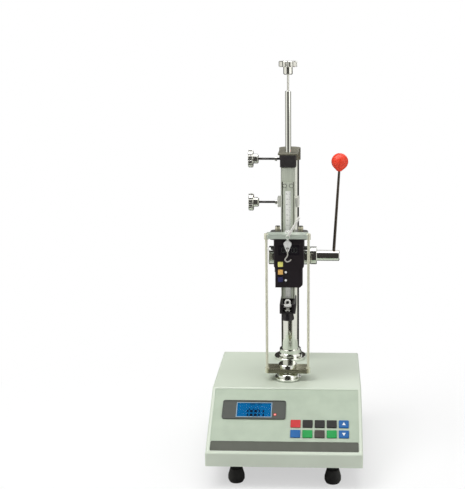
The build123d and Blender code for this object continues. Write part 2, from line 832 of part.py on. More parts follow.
flange_top = console_height + flange_height + flange_dome_height + flange_collar_height
with BuildPart() as column_flange:
    with BuildSketch(Plane.XZ.offset(-column_y)):
        with BuildLine():
            bore = column_diameter / 2 + seat_gap
            step_z = console_height + flange_height
            dome_z = step_z + flange_dome_height
            Polyline(
                (bore, flange_top),
                (bore, console_height),
                (flange_diameter / 2, console_height),
                (flange_diameter / 2, step_z),
                (flange_step_diameter / 2 + 1, step_z),
            )
            RadiusArc(
                (flange_step_diameter / 2 + 1, step_z),
                (flange_collar_diameter / 2, dome_z),
                -flange_dome_height * 1.2,
            )
            Polyline(
                (flange_collar_diameter / 2, dome_z),
                (flange_collar_diameter / 2, flange_top),
                (bore, flange_top),
            )
        make_face()
    revolve(axis=Axis((0, column_y, 0), (0, 0, 1)))
    circles = column_flange.edges().filter_by(GeomType.CIRCLE)
    rim = circles.filter_by(lambda e: abs(e.center().Z - step_z) < 0.01)
    fillet(rim.sort_by(Edge.length)[-1], 1.0)
    fillet(column_flange.edges().filter_by(GeomType.CIRCLE).group_by(Axis.Z)[-1].sort_by(Edge.length)[-1], 1.0)
    with Locations(*[(x, y, step_z) for x, y in flange_bolts]):
        Hole(screw_shank / 2 + seat_gap, flange_height)
column_flange.part.label = "column_flange"
export_step(column_flange.part, "parts/column_flange.step")

# Gear head: a casting with the ram's square bore, the pinion's chamber and a split clamp round the column
root_line = ram_back - 2.25 * rack_module
outer_radius = pitch_radius + rack_module
head_back = pinion_y + outer_radius + head_gear_clearance + head_wall
with BuildPart() as head_housing:
    with BuildSketch(Plane.XY.offset(head_bottom)):
        with Locations((0, (head_front + head_back) / 2)):
            RectangleRounded(head_width, head_back - head_front, 3)
    extrude(amount=head_top - head_bottom)
    with BuildSketch(Plane.XY.offset(head_top - head_plate_thickness)):
        with Locations((0, (head_plate_front + head_back) / 2)):
            RectangleRounded(head_plate_width, head_back - head_plate_front, head_plate_corner)
    extrude(amount=head_plate_thickness)
    with BuildSketch(Plane.XY.offset(clamp_bottom)):
        with Locations((0, column_y)):
            Circle(clamp_diameter / 2)
        with Locations((0, (head_back + column_y) / 2 - 4)):
            Rectangle(clamp_diameter * 0.75, column_y - head_back + 8)
        with Locations((0, column_y + clamp_diameter / 2 + clamp_ear_depth / 2 - 4)):
            Rectangle(clamp_ear_width, clamp_ear_depth)
    extrude(amount=clamp_top - clamp_bottom)
    chamfer(head_housing.edges().filter_by(Plane.XY).filter_by(lambda e: e.center().Z > head_top - 0.01), 1.5)
    # the ram's bore, and the scale beam's slot in front of it
    with BuildSketch(Plane.XY.offset(head_bottom)):
        with Locations((0, ram_y)):
            Rectangle(ram_side + 2 * slide_gap, ram_side + 2 * slide_gap)
        with Locations((0, head_front + (ram_front - head_front) / 2)):
            Rectangle(beam_width + 2 * free_gap, ram_front - head_front + 1)
    extrude(amount=head_top - head_bottom, mode=Mode.SUBTRACT)
    # the column's bore and the slit that lets the clamp close
    with BuildSketch(Plane.XY.offset(clamp_bottom)):
        with Locations((0, column_y)):
            Circle(column_diameter / 2 + seat_gap)
        with Locations((0, column_y + clamp_diameter / 2)):
            Rectangle(clamp_slit, clamp_diameter)
    extrude(amount=clamp_top - clamp_bottom, mode=Mode.SUBTRACT)
    # the pinion's chamber, which opens into the ram's bore, and the shaft's bores
    with BuildSketch(Plane.YZ.offset(-pinion_width / 2 - head_gear_clearance)):
        with Locations((pinion_y, pinion_z)):
            Circle(outer_radius + head_gear_clearance)
    extrude(amount=pinion_width + 2 * head_gear_clearance, mode=Mode.SUBTRACT)
    with BuildSketch(Plane.YZ.offset(-head_width / 2)):
        with Locations((pinion_y, pinion_z)):
            Circle(shaft_diameter / 2 + slide_gap)
    extrude(amount=head_width, mode=Mode.SUBTRACT)
head_housing.part.label = "head_housing"
export_step(head_housing.part, "parts/head_housing.step")

# Bearing caps on both sides of the head
with BuildPart() as bearing_caps:
    for start, length in (
        (left_cap_x, -head_width / 2 - left_cap_x),
        (head_width / 2, right_cap_x - head_width / 2),
    ):
        with BuildSketch(Plane.YZ.offset(start)):
            with Locations((pinion_y, pinion_z)):
                Circle(cap_round_diameter / 2)
        extrude(amount=length)
    outer = bearing_caps.edges().filter_by(GeomType.CIRCLE).group_by(Axis.X)
    chamfer(outer[0] + outer[-1], 1.2)
    with BuildSketch(Plane.YZ.offset(shaft_left - free_gap)):
        with Locations((pinion_y, pinion_z)):
            Circle(shaft_diameter / 2 + slide_gap)
    extrude(amount=shaft_right - shaft_left, mode=Mode.SUBTRACT)
bearing_caps.part.label = "bearing_caps"
export_step(bearing_caps.part, "parts/bearing_caps.step")


# A point on an involute flank, as the angle from the middle of the tooth at a radius
def flank_angle(radius, half_tooth):
    base = pitch_radius * cos(pressure_angle)
    at_pitch = tan(pressure_angle) - pressure_angle
    at_radius = acos(min(1.0, base / radius))
    return half_tooth + at_pitch - (tan(at_radius) - at_radius)


# One pinion tooth, along local +X
base_radius = pitch_radius * cos(pressure_angle)
root_radius = pitch_radius - 1.25 * rack_module
half_tooth_angle = pi / (2 * pinion_teeth) - backlash / (2 * pitch_radius)
flank_radii = [base_radius + (outer_radius - base_radius) * step / 4 for step in range(5)]
flank = [
    (r * cos(flank_angle(r, half_tooth_angle)), r * sin(flank_angle(r, half_tooth_angle)))
    for r in flank_radii
]
foot_angle = flank_angle(base_radius, half_tooth_angle)
inner = (root_radius - 0.4) * cos(foot_angle), (root_radius - 0.4) * sin(foot_angle)
with BuildSketch() as tooth:
    with BuildLine():
        Line(inner, flank[0])
        Spline(*flank)
        ThreePointArc(flank[-1], (outer_radius, 0), (flank[-1][0], -flank[-1][1]))
        Spline(*[(a, -b) for a, b in reversed(flank)])
        Line((flank[0][0], -flank[0][1]), (inner[0], -inner[1]))
        Line((inner[0], -inner[1]), inner)
    make_face()

# Pinion cut in one piece with its shaft
with BuildPart() as pinion_shaft:
    with BuildSketch(Plane.YZ.offset(-pinion_width / 2)):
        with Locations((pinion_y, pinion_z)):
            Circle(root_radius)
            with PolarLocations(0, pinion_teeth):
                add(tooth.sketch)
    extrude(amount=pinion_width)
    with BuildSketch(Plane.YZ.offset(shaft_left)):
        with Locations((pinion_y, pinion_z)):
            Circle(shaft_diameter / 2)
    extrude(amount=shaft_right - shaft_left)
pinion_shaft.part.label = "pinion_shaft"
export_step(pinion_shaft.part, "parts/pinion_shaft.step")

# Lever hub: a flange and a long sleeve, turned in one piece and pinned on the shaft
lever_axis = Plane((lever_foot_x, pinion_y, pinion_z), x_dir=(0, 1, 0), z_dir=(lever_lean, 0, lever_length))
with BuildPart() as lever_hub:
    with BuildSketch(Plane.YZ.offset(hub_x)):
        with Locations((pinion_y, pinion_z)):
            Circle(hub_diameter / 2)
    extrude(amount=hub_length)
    with BuildSketch(Plane.YZ.offset(hub_x)):
        with Locations((pinion_y, pinion_z)):
            Circle(sleeve_diameter / 2)
    extrude(amount=sleeve_end - hub_x)
    turned_edges = lever_hub.edges().filter_by(GeomType.CIRCLE)
    chamfer(turned_edges.group_by(Axis.X)[-1], 1.5)
    chamfer(turned_edges.filter_by(lambda e: e.radius > hub_diameter / 2 - 0.1), 1.0)
    with BuildSketch(Plane.YZ.offset(hub_x)):
        with Locations((pinion_y, pinion_z)):
            Circle(shaft_diameter / 2 + seat_gap)
    extrude(amount=shaft_right + seat_gap - hub_x, mode=Mode.SUBTRACT)
    with BuildSketch(lever_axis):
        Circle(lever_diameter / 2 + seat_gap)
    extrude(amount=sleeve_diameter, mode=Mode.SUBTRACT)
lever_hub.part.label = "lever_hub"
export_step(lever_hub.part, "parts/lever_hub.step")

# Lever rod, tapered towards the ball
ball_centre = lever_axis.offset(hypot(lever_lean, lever_length)).origin
with BuildPart() as lever_rod:
    with BuildSketch(lever_axis):
        Circle(lever_diameter / 2)
    with BuildSketch(lever_axis.offset(lever_length - ball_diameter / 4)):
        Circle(lever_tip_diameter / 2)
    loft()
lever_rod.part.label = "lever_rod"
export_step(lever_rod.part, "parts/lever_rod.step")

# Ball knob with a short neck, bored for the rod
with BuildPart() as lever_ball:
    with Locations(ball_centre):
        Sphere(ball_diameter / 2)
    neck_start = hypot(lever_lean, lever_length) - ball_diameter / 2 - ball_neck_length
    with BuildSketch(lever_axis.offset(neck_start)):
        Circle(ball_neck_diameter / 2)
    with BuildSketch(lever_axis.offset(hypot(lever_lean, lever_length) - ball_diameter * 0.4)):
        Circle(ball_diameter * 0.3)
    loft()
    add(lever_rod.part, mode=Mode.SUBTRACT)
lever_ball.part.label = "lever_ball"
export_step(lever_ball.part, "parts/lever_ball.step")

# Ram with a rack cut in its back: a gap faces the pinion's shaft at rest
rack_pitch = pi * rack_module
gap_half = rack_pitch / 4 + backlash / 4
gap_out = gap_half + rack_module * tan(pressure_angle)
gap_in = gap_half - 1.25 * rack_module * tan(pressure_angle)
with BuildPart() as ram_bar:
    with BuildSketch(Plane.XY.offset(ram_bottom)):
        with Locations((0, ram_y)):
            Rectangle(ram_side, ram_side)
    extrude(amount=ram_top - ram_bottom)
    chamfer(ram_bar.edges().filter_by(Axis.Z), 0.6)
    with BuildSketch(Plane.YZ.offset(-ram_side / 2)):
        for tooth_number in range(-rack_teeth_below, rack_teeth_above + 1):
            gap_z = pinion_z + tooth_number * rack_pitch
            with BuildLine():
                Polyline(
                    (ram_back + 0.01, gap_z - gap_out),
                    (root_line, gap_z - gap_in),
                    (root_line, gap_z + gap_in),
                    (ram_back + 0.01, gap_z + gap_out),
                    close=True,
                )
            make_face()
    extrude(amount=ram_side, mode=Mode.SUBTRACT)
    with Locations((0, ram_y, ram_top)):
        Hole(rod_spigot_diameter / 2 + seat_gap, rod_spigot_depth)
ram_bar.part.label = "ram_bar"
export_step(ram_bar.part, "parts/ram_bar.step")

# Guide rod on top of the ram, with a screwed spigot and a bore for the knob's stud
with BuildPart() as guide_rod:
    with BuildSketch(Plane.XZ.offset(-ram_y)):
        with BuildLine():
            bore = knob_stud_diameter / 2 + slide_gap
            Polyline(
                (0, ram_top - rod_spigot_depth),
                (rod_spigot_diameter / 2, ram_top - rod_spigot_depth),
                (rod_spigot_diameter / 2, ram_top),
                (rod_diameter / 2, ram_top),
                (rod_diameter / 2, rod_top - 1),
                (rod_diameter / 2 - 1, rod_top),
                (bore, rod_top),
                (bore, knob_stud_bottom - free_gap),
                (0, knob_stud_bottom - free_gap),
                close=True,
            )
        make_face()
    revolve(axis=Axis((0, ram_y, 0), (0, 0, 1)))
guide_rod.part.label = "guide_rod"
export_step(guide_rod.part, "parts/guide_rod.step")

# Knob on a thin stud at the top
with BuildPart() as top_knob:
    with BuildSketch(Plane.XZ.offset(-ram_y)):
        with BuildLine():
            Polyline(
                (0, knob_stud_bottom),
                (knob_stud_diameter / 2, knob_stud_bottom),
                (knob_stud_diameter / 2, knob_hub_bottom),
                (knob_hub_diameter / 2 - 1.5, knob_hub_bottom),
                (knob_hub_diameter / 2, knob_hub_bottom + 1.5),
                (knob_hub_diameter / 2, knob_disc_bottom),
                (knob_disc_diameter / 2, knob_disc_bottom),
                (knob_disc_diameter / 2, knob_top),
                (0, knob_top),
                close=True,
            )
        make_face()
    revolve(axis=Axis((0, ram_y, 0), (0, 0, 1)))
    disc_rims = top_knob.edges().filter_by(lambda e: e.center().Z > knob_disc_bottom - 0.01)
    chamfer(disc_rims.filter_by(lambda e: e.length > 90), 1.0)
    scallop_radius = 2.6
    with BuildSketch(Plane.XY.offset(knob_disc_bottom)):
        with Locations((0, ram_y)):
            with PolarLocations(knob_disc_diameter / 2 + scallop_radius * 0.6, lock_scallops):
                Circle(scallop_radius)
    extrude(amount=knob_top - knob_disc_bottom, mode=Mode.SUBTRACT)
top_knob.part.label = "top_knob"
export_step(top_knob.part, "parts/top_knob.step")

# Arm on top of the column: a plate over a web, with a split ring round the column
arm_front = ram_y - block_depth / 2
with BuildPart() as top_arm:
    with BuildSketch(Plane.XY.offset(arm_bottom)):
        with Locations((0, (arm_front + column_y) / 2)):
            Rectangle(arm_width, column_y - arm_front)
        with Locations((0, column_y)):
            Circle(arm_ring_diameter / 2)
    extrude(amount=arm_plate)
    with BuildSketch(Plane.XY.offset(arm_top - arm_ring_height)):
        with Locations((0, column_y)):
            Circle(arm_ring_diameter / 2)
        web_front = ram_y + block_depth / 2
        with Locations((0, (web_front + column_y) / 2)):
            Rectangle(arm_web, column_y - web_front)
        with Locations((0, column_y + arm_ring_diameter / 2 + 3)):
            Rectangle(18, 14)
    extrude(amount=arm_ring_height - arm_plate)
    with BuildSketch(Plane.XY.offset(arm_top - arm_ring_height)):
        with Locations((0, column_y)):
            Circle(column_diameter / 2 + seat_gap)
        with Locations((0, column_y + arm_ring_diameter / 2)):
            Rectangle(clamp_slit, arm_ring_diameter)
    extrude(amount=arm_ring_height - arm_plate, mode=Mode.SUBTRACT)
    with Locations((0, ram_y, arm_top)):
        Hole(rod_diameter / 2 + free_gap, arm_plate + 1)
    chamfer(top_arm.edges().group_by(Axis.Z)[-1].filter_by(GeomType.LINE), 0.6)
top_arm.part.label = "top_arm"
export_step(top_arm.part, "parts/top_arm.step")

# Black block that guides the rod, tapped from the left for the upper lock screw
with BuildPart() as top_block:
    with BuildSketch(Plane.XY.offset(block_bottom)):
        with Locations((0, ram_y)):
            Rectangle(block_width, block_depth)
    extrude(amount=arm_bottom - block_bottom)
    chamfer(top_block.edges().filter_by(Axis.Z), 1.0)
    with Locations((0, ram_y, arm_bottom)):
        Hole(rod_diameter / 2 + slide_gap)
    with Locations(Plane((-block_width / 2, ram_y, upper_lock_z), x_dir=(0, 1, 0), z_dir=(-1, 0, 0))):
        Hole(lock_shaft_diameter / 2 + slide_gap, block_width / 2)
top_block.part.label = "top_block"
export_step(top_block.part, "parts/top_block.step")

# Lock screws: a scalloped disc and a hub on a long thin screw, whose tip meets the rod or the ram
for node, z, tip in (
    ("upper_lock_screw", upper_lock_z, -rod_diameter / 2 - 2 * slide_gap),
    ("lower_lock_screw", lower_lock_z, -ram_side / 2 - 2 * slide_gap),
):
    with BuildPart() as lock_screw:
        with BuildSketch(Plane((0, ram_y, z), x_dir=(1, 0, 0), z_dir=(0, -1, 0))):
            ring_x = -collar_width / 2 - 2 * free_gap
            with BuildLine():
                Polyline(
                    (tip, 0),
                    (tip, lock_shaft_diameter / 2),
                    (ring_x, lock_shaft_diameter / 2),
                    (ring_x, lock_ring_diameter / 2),
                    (ring_x - lock_ring_length, lock_ring_diameter / 2),
                    (ring_x - lock_ring_length, lock_shaft_diameter / 2),
                    (lock_hub_x, lock_shaft_diameter / 2),
                    (lock_hub_x, lock_hub_diameter / 2 - 1.5),
                    (lock_hub_x - 1.5, lock_hub_diameter / 2),
                    (lock_disc_x, lock_hub_diameter / 2),
                    (lock_disc_x, lock_disc_diameter / 2),
                    (lock_disc_end, lock_disc_diameter / 2),
                    (lock_disc_end, 0),
                    close=True,
                )
            make_face()
        revolve(axis=Axis((0, ram_y, z), (1, 0, 0)))
        circles = lock_screw.edges().filter_by(GeomType.CIRCLE)
        rim = circles.filter_by(lambda e: e.radius > lock_disc_diameter / 2 - 0.1)
        chamfer(rim, 1.0)
        with BuildSketch(Plane.YZ.offset(lock_disc_end)):
            with Locations((ram_y, z)):
                with PolarLocations(lock_disc_diameter / 2 + 1.5, lock_scallops):
                    Circle(2.5)
        extrude(amount=lock_disc_x - lock_disc_end, mode=Mode.SUBTRACT)
    lock_screw.part.label = node
    export_step(lock_screw.part, f"parts/{node}.step")

# Stop collar: a yoke-shaped block that slides on the ram, open at the front for the scale beam
collar_back = ram_back + slide_gap + collar_back_wall
with BuildPart() as stop_collar:
    with BuildSketch(Plane.XY.offset(collar_bottom)):
        with Locations((0, (collar_front + collar_back) / 2)):
            Rectangle(collar_width, collar_back - collar_front)
        with Locations((0, (collar_front + ram_back + slide_gap) / 2)):
            Rectangle(ram_side + 2 * slide_gap, ram_back + slide_gap - collar_front, mode=Mode.SUBTRACT)
    extrude(amount=collar_height)
    uprights = stop_collar.edges().filter_by(Axis.Z)
    corners = uprights.filter_by(lambda e: abs(e.center().X) > collar_width / 2 - 0.1)
    chamfer(corners, 1.5)
    with Locations(Plane((-collar_width / 2, ram_y, lower_lock_z), x_dir=(0, 1, 0), z_dir=(-1, 0, 0))):
        Hole(lock_shaft_diameter / 2 + slide_gap, (collar_width - ram_side) / 2)
stop_collar.part.label = "stop_collar"
export_step(stop_collar.part, "parts/stop_collar.step")

# Scale beam on the ram's front, with the two screws at its top
with BuildPart() as scale_beam:
    with BuildSketch(Plane.XZ.offset(-ram_front)):
        with Locations((0, (beam_bottom + beam_top) / 2)):
            Rectangle(beam_width, beam_top - beam_bottom)
    extrude(amount=beam_thickness)
    chamfer(scale_beam.faces().sort_by(Axis.Y)[0].edges().filter_by(Axis.Z), 0.5)
    # the sunk track that the scale's strip is stuck into
    with BuildSketch(Plane.XZ.offset(-ram_front + beam_thickness)):
        with Locations((0, (beam_bottom + beam_recess_top) / 2)):
            Rectangle(beam_recess_width, beam_recess_top - beam_bottom)
    extrude(amount=-beam_recess_depth, mode=Mode.SUBTRACT)
    with BuildSketch(Plane.XZ.offset(-ram_front + beam_thickness)):
        with Locations((-beam_screw_x, beam_screw_z), (beam_screw_x, beam_screw_z)):
            Circle(beam_screw_head / 2)
    extrude(amount=beam_screw_height)
scale_beam.part.label = "scale_beam"
export_step(scale_beam.part, "parts/scale_beam.step")

# Readout body on the head's front: a wide upper half, a narrower lower half and pockets for the buttons
lower_corner = 5.0
low_left = readout_x - readout_low_width / 2
low_right = readout_x + readout_low_width / 2
wide_left = readout_x - readout_width / 2
wide_right = readout_x + readout_width / 2
with BuildPart() as readout_body:
    with BuildSketch(Plane.XZ.offset(-head_front)):
        with BuildLine():
            Polyline(
                (low_left, readout_bottom),
                (low_right - lower_corner, readout_bottom),
                (low_right, readout_bottom + lower_corner),
                (low_right, readout_step),
                (wide_right, readout_step + readout_step_chamfer),
                (wide_right, readout_top),
                (wide_left, readout_top),
                (wide_left, readout_step + readout_step_chamfer),
                (low_left, readout_step),
                close=True,
            )
        make_face()
    extrude(amount=readout_depth)
    chamfer(readout_body.faces().sort_by(Axis.Y)[0].edges(), readout_edge)
    with BuildSketch(Plane.XZ.offset(-readout_front)):
        with Locations((readout_x, readout_window_z)):
            RectangleRounded(readout_window_width, readout_window_height, 1.5)
    extrude(amount=-readout_window_depth, mode=Mode.SUBTRACT)
    with BuildSketch(Plane.XZ.offset(-readout_front)):
        with Locations(*[(button_x, z) for z in button_z.values()]):
            Rectangle(button_side + 2 * free_gap, button_side + 2 * free_gap)
    extrude(amount=-button_pocket, mode=Mode.SUBTRACT)
readout_body.part.label = "readout_body"
export_step(readout_body.part, "parts/readout_body.step")

with BuildPart() as readout_window:
    with BuildSketch(Plane.XZ.offset(-readout_front - readout_window_depth)):
        with Locations((readout_x, readout_window_z)):
            RectangleRounded(readout_window_width - 2 * seat_gap, readout_window_height - 2 * seat_gap, 1.4)
    extrude(amount=readout_window_depth)
readout_window.part.label = "readout_window"
export_step(readout_window.part, "parts/readout_window.step")

for colour, z in button_z.items():
    with BuildPart() as button:
        with BuildSketch(Plane.XZ.offset(-readout_front - button_pocket + button_travel + free_gap)):
            with Locations((button_x, z)):
                RectangleRounded(button_side, button_side, 1.0)
        extrude(amount=button_pocket - button_travel - free_gap + button_proud)
        fillet(button.faces().sort_by(Axis.Y)[0].edges(), 0.6)
    button.part.label = f"readout_button_{colour}"
    export_step(button.part, f"parts/readout_button_{colour}.step")

# Hook bracket: a channel bolted under the ram that reaches forward to the line of force
with BuildPart() as hook_bracket:
    with BuildSketch(Plane.XY.offset(bracket_bottom)):
        with Locations((0, (bracket_front + ram_back) / 2)):
            Rectangle(bracket_width, ram_back - bracket_front)
    extrude(amount=ram_bottom - bracket_bottom)
    with BuildSketch(Plane.XY.offset(bracket_bottom)):
        with Locations((0, bracket_front + bracket_cheek_depth / 2)):
            Rectangle(bracket_width, bracket_cheek_depth)
    extrude(amount=bracket_cheek_top - bracket_bottom)
    fillet(hook_bracket.edges().filter_by(Axis.Z).group_by(Axis.Y)[0], 2)
    with BuildSketch(Plane.XY.offset(bracket_bottom + bracket_floor)):
        with Locations((0, (bracket_front + ram_front) / 2 - 3)):
            Rectangle(bracket_slot, ram_front - bracket_front)
    extrude(amount=bracket_cheek_top - bracket_bottom, mode=Mode.SUBTRACT)
    cheek_corners = hook_bracket.edges().filter_by(Axis.X).group_by(Axis.Y)[0].group_by(Axis.Z)[-1]
    fillet(cheek_corners, 2)
    with Locations((0, test_y, bracket_bottom)):
        Hole(platen_stem_diameter / 2 + seat_gap)
    with BuildSketch(Plane.YZ.offset(-bracket_width / 2)):
        with Locations((test_y, lower_hook_pin_z)):
            Circle(pin_diameter / 2)
    extrude(amount=bracket_width)
hook_bracket.part.label = "hook_bracket"
export_step(hook_bracket.part, "parts/hook_bracket.step")

# Lower hook: an eye on the bracket's pin, a shank and a round crook that opens to the right
eye_width = bracket_slot - 4.0
crook_z = lower_hook_pin_z + hook_eye_diameter / 2 + hook_shank + hook_radius - 2
shank_z = lower_hook_pin_z + hook_eye_diameter / 2 - 0.6
with BuildPart() as lower_hook:
    with BuildSketch(Plane.YZ.offset(-eye_width / 2)):
        with Locations((test_y, lower_hook_pin_z)):
            Circle(hook_eye_diameter / 2)
            Circle(pin_diameter / 2 + slide_gap, mode=Mode.SUBTRACT)
    extrude(amount=eye_width)
    with BuildLine(Plane.XZ.offset(-test_y)):
        Line((-hook_radius, shank_z), (-hook_radius, crook_z))
        CenterArc((0, crook_z), hook_radius, 180, -235)
    with BuildSketch(Plane.XY.offset(shank_z)):
        with Locations((-hook_radius, test_y)):
            Circle(hook_wire / 2)
    sweep()
lower_hook.part.label = "lower_hook"
export_step(lower_hook.part, "parts/lower_hook.step")

# Upper platen: a cone under the bracket, with its stem and domed nut above the bracket's floor
platen_bottom_z = bracket_bottom - upper_platen_height
floor_top_z = bracket_bottom + bracket_floor
with BuildPart() as upper_platen:
    with BuildSketch(Plane.XZ.offset(-test_y)):
        with BuildLine():
            Polyline(
                (0, platen_bottom_z),
                (upper_platen_diameter / 2, platen_bottom_z),
                (upper_platen_diameter / 2, platen_bottom_z + upper_platen_rim),
                (upper_platen_top / 2, bracket_bottom),
                (platen_stem_diameter / 2, bracket_bottom),
                (platen_stem_diameter / 2, floor_top_z),
                (platen_disc_diameter / 2, floor_top_z),
                (platen_disc_diameter / 2, floor_top_z + platen_disc_height),
                (platen_dome_diameter / 2, floor_top_z + platen_disc_height),
                (platen_dome_diameter / 2 - 2.5, floor_top_z + platen_disc_height + platen_dome_height),
                (0, floor_top_z + platen_disc_height + platen_dome_height),
                close=True,
            )
        make_face()
    revolve(axis=Axis((0, test_y, 0), (0, 0, 1)))
    chamfer(upper_platen.edges().group_by(Axis.Z)[0], 0.6)
upper_platen.part.label = "upper_platen"
export_step(upper_platen.part, "parts/upper_platen.step")

# Shackle: a pear-shaped plate on a round neck, with a nut on top of the crossbar
with BuildPart() as shackle:
    with BuildSketch(Plane.XZ.offset(-test_y - shackle_thickness / 2)):
        with BuildLine():
            Polyline(
                (0, shackle_bottom),
                (2.2, shackle_bottom + 0.6),
                (shackle_width / 2, shackle_wide_z - 2),
                (shackle_width / 2, shackle_wide_z + 1),
                (2.4, shackle_shoulder_z),
                (-2.4, shackle_shoulder_z),
                (-shackle_width / 2, shackle_wide_z + 1),
                (-shackle_width / 2, shackle_wide_z - 2),
                (-2.2, shackle_bottom + 0.6),
                close=True,
            )
        make_face()
        with Locations((0, shackle_hole_z)):
            Circle(shackle_hole / 2, mode=Mode.SUBTRACT)
    extrude(amount=shackle_thickness)
    with BuildSketch(Plane.XY.offset(shackle_shoulder_z - 2)):
        with Locations((0, test_y)):
            Circle(shackle_neck / 2)
    extrude(amount=upper_bar_top + slide_gap - shackle_shoulder_z + 2)
    with BuildSketch(Plane.XY.offset(upper_bar_top + slide_gap)):
        with Locations((0, test_y)):
            RegularPolygon(shackle_nut_diameter / 2, 6)
    extrude(amount=shackle_nut_height)
shackle.part.label = "shackle"
export_step(shackle.part, "parts/shackle.step")

# Upper hook: a ring through the shackle, a bent shank and a crook that opens to the right
with BuildPart() as upper_hook:
    with Locations(Plane((0, test_y, ring_z), x_dir=(0, 1, 0), z_dir=(1, 0, 0))):
        Torus(ring_radius, j_wire / 2)
    shank_top = ring_z - ring_radius
    with BuildLine(Plane.XZ.offset(-test_y)):
        Spline(*[(x, shank_top - drop) for x, drop in hook_path])
    with BuildSketch(Plane.XY.offset(shank_top)):
        with Locations((0, test_y)):
            Circle(j_wire / 2)
    sweep()
upper_hook.part.label = "upper_hook"
export_step(upper_hook.part, "parts/upper_hook.step")

# Latch lever: an eye on the crossbar's pin, and a long round-ended arm
pivot_z = upper_bar_bottom + upper_bar_thickness / 2
latch_dx = latch_tip[0] - latch_pivot_x
latch_dz = latch_tip[1] - pivot_z
latch_reach = hypot(latch_dx, latch_dz)
latch_angle = degrees(atan2(latch_dz, latch_dx))
with BuildPart() as latch_lever:
    with BuildSketch(Plane.XZ.offset(-upper_bar_front + free_gap)):
        with Locations((latch_pivot_x, pivot_z)):
            Circle(latch_eye_diameter / 2)
        with Locations((latch_pivot_x + latch_dx / 2, pivot_z + latch_dz / 2)):
            SlotCenterToCenter(latch_reach - latch_arm_diameter / 2, latch_arm_diameter, rotation=latch_angle)
        with Locations((latch_pivot_x, pivot_z)):
            Circle(latch_pivot_diameter / 2 + slide_gap, mode=Mode.SUBTRACT)
    extrude(amount=latch_thickness)
    fillet(latch_lever.faces().sort_by(Axis.Y)[0].outer_wire().edges(), 0.8)
latch_lever.part.label = "latch_lever"
export_step(latch_lever.part, "parts/latch_lever.step")

# Socket-head screws: the column flange's four, the head's two posts, and those that close the clamps
with BuildPart() as socket_screws:
    flange_seat = console_height + flange_height
    with BuildSketch(Plane.XY.offset(flange_seat)):
        with Locations(*flange_bolts):
            Circle(flange_screw_head / 2)
    extrude(amount=flange_screw_height)
    with BuildSketch(Plane.XY.offset(flange_seat)):
        with Locations(*flange_bolts):
            Circle(screw_shank / 2)
    extrude(amount=-(flange_height + cover_wall + pedestal_wall))
    with BuildSketch(Plane.XY.offset(head_top)):
        with Locations((-post_x, post_y), (post_x, post_y)):
            Circle(post_diameter / 2)
            RegularPolygon(2.5, 6, mode=Mode.SUBTRACT)
    extrude(amount=post_height)
    ear_y = column_y + clamp_diameter / 2 + clamp_ear_depth - 4 - clamp_screw_head / 2
    with BuildSketch(Plane.YZ.offset(clamp_ear_width / 2)):
        with Locations((ear_y, clamp_bottom + 14), (ear_y, clamp_top - 14)):
            Circle(4)
    extrude(amount=4)
    with BuildSketch(Plane.YZ.offset(9)):
        with Locations((column_y + arm_ring_diameter / 2 + 6, arm_top - arm_ring_height / 2)):
            Circle(3.5)
    extrude(amount=3.5)
socket_screws.part.label = "socket_screws"
export_step(socket_screws.part, "parts/socket_screws.step")

# Power socket and switch module in the rear wall
with BuildPart() as power_inlet:
    with BuildSketch(Plane.XZ.offset(-rear_y)):
        with Locations((inlet_x, inlet_z)):
            RectangleRounded(inlet_width, inlet_height, 3)
    extrude(amount=-inlet_flange)
    with BuildSketch(Plane.XZ.offset(-rear_y)):
        with Locations((inlet_x, inlet_z)):
            Rectangle(inlet_width - 6 - 2 * free_gap, inlet_height - 6 - 2 * free_gap)
    extrude(amount=inlet_body_depth)
    with BuildSketch(Plane.XZ.offset(-rear_y - inlet_flange)):
        with Locations((socket_x, inlet_z)):
            RectangleRounded(socket_width, socket_height, 3)
    extrude(amount=socket_depth, mode=Mode.SUBTRACT)
    with BuildSketch(Plane.XZ.offset(-rear_y - inlet_flange)):
        with Locations((rocker_x, inlet_z)):
            Rectangle(rocker_width + 2 * free_gap, rocker_height + 2 * free_gap)
    extrude(amount=rocker_depth + 3, mode=Mode.SUBTRACT)
    with BuildSketch(Plane.XZ.offset(-rear_y - inlet_flange + socket_depth)):
        with Locations(
            (socket_x - socket_pin_pitch, inlet_z - 1),
            (socket_x, inlet_z + 2),
            (socket_x + socket_pin_pitch, inlet_z - 1),
        ):
            Rectangle(socket_pin[0], socket_pin[1])
    extrude(amount=-socket_pin[2])
    with BuildSketch(Plane.YZ.offset(rocker_x - rocker_width / 2 - free_gap)):
        with Locations((rear_y + inlet_flange - rocker_depth + 2, inlet_z)):
            Circle(1.5)
    extrude(amount=rocker_width + 2 * free_gap)
power_inlet.part.label = "power_inlet"
export_step(power_inlet.part, "parts/power_inlet.step")

# Rocker: a shallow V that tips on the module's pin
rocker_pivot_y = rear_y + inlet_flange - rocker_depth + 2
rocker_face_y = rear_y + inlet_flange - rocker_proud
with BuildPart() as power_rocker:
    with BuildSketch(Plane.YZ.offset(rocker_x - rocker_width / 2)):
        with BuildLine():
            Polyline(
                (rocker_pivot_y - 3, inlet_z - 3.5),
                (rocker_face_y - 2.4, inlet_z - rocker_height / 2 + 0.9),
                (rocker_face_y - 0.4, inlet_z - rocker_height / 2 + 0.6),
                (rocker_face_y - 1.6, inlet_z),
                (rocker_face_y - 0.4, inlet_z + rocker_height / 2 - 0.6),
                (rocker_face_y - 2.4, inlet_z + rocker_height / 2 - 0.9),
                (rocker_pivot_y - 3, inlet_z + 3.5),
                close=True,
            )
        make_face()
        with Locations((rocker_pivot_y, inlet_z)):
            Circle(1.5 + slide_gap, mode=Mode.SUBTRACT)
    extrude(amount=rocker_width)
power_rocker.part.label = "power_rocker"
export_step(power_rocker.part, "parts/power_rocker.step")
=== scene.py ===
"""Dresses the spring tester: materials, printed marks, displays, soft studio light and the camera."""

import json
from math import cos, pi, radians, sin

import bmesh
import bpy
from mathutils import Matrix, Vector


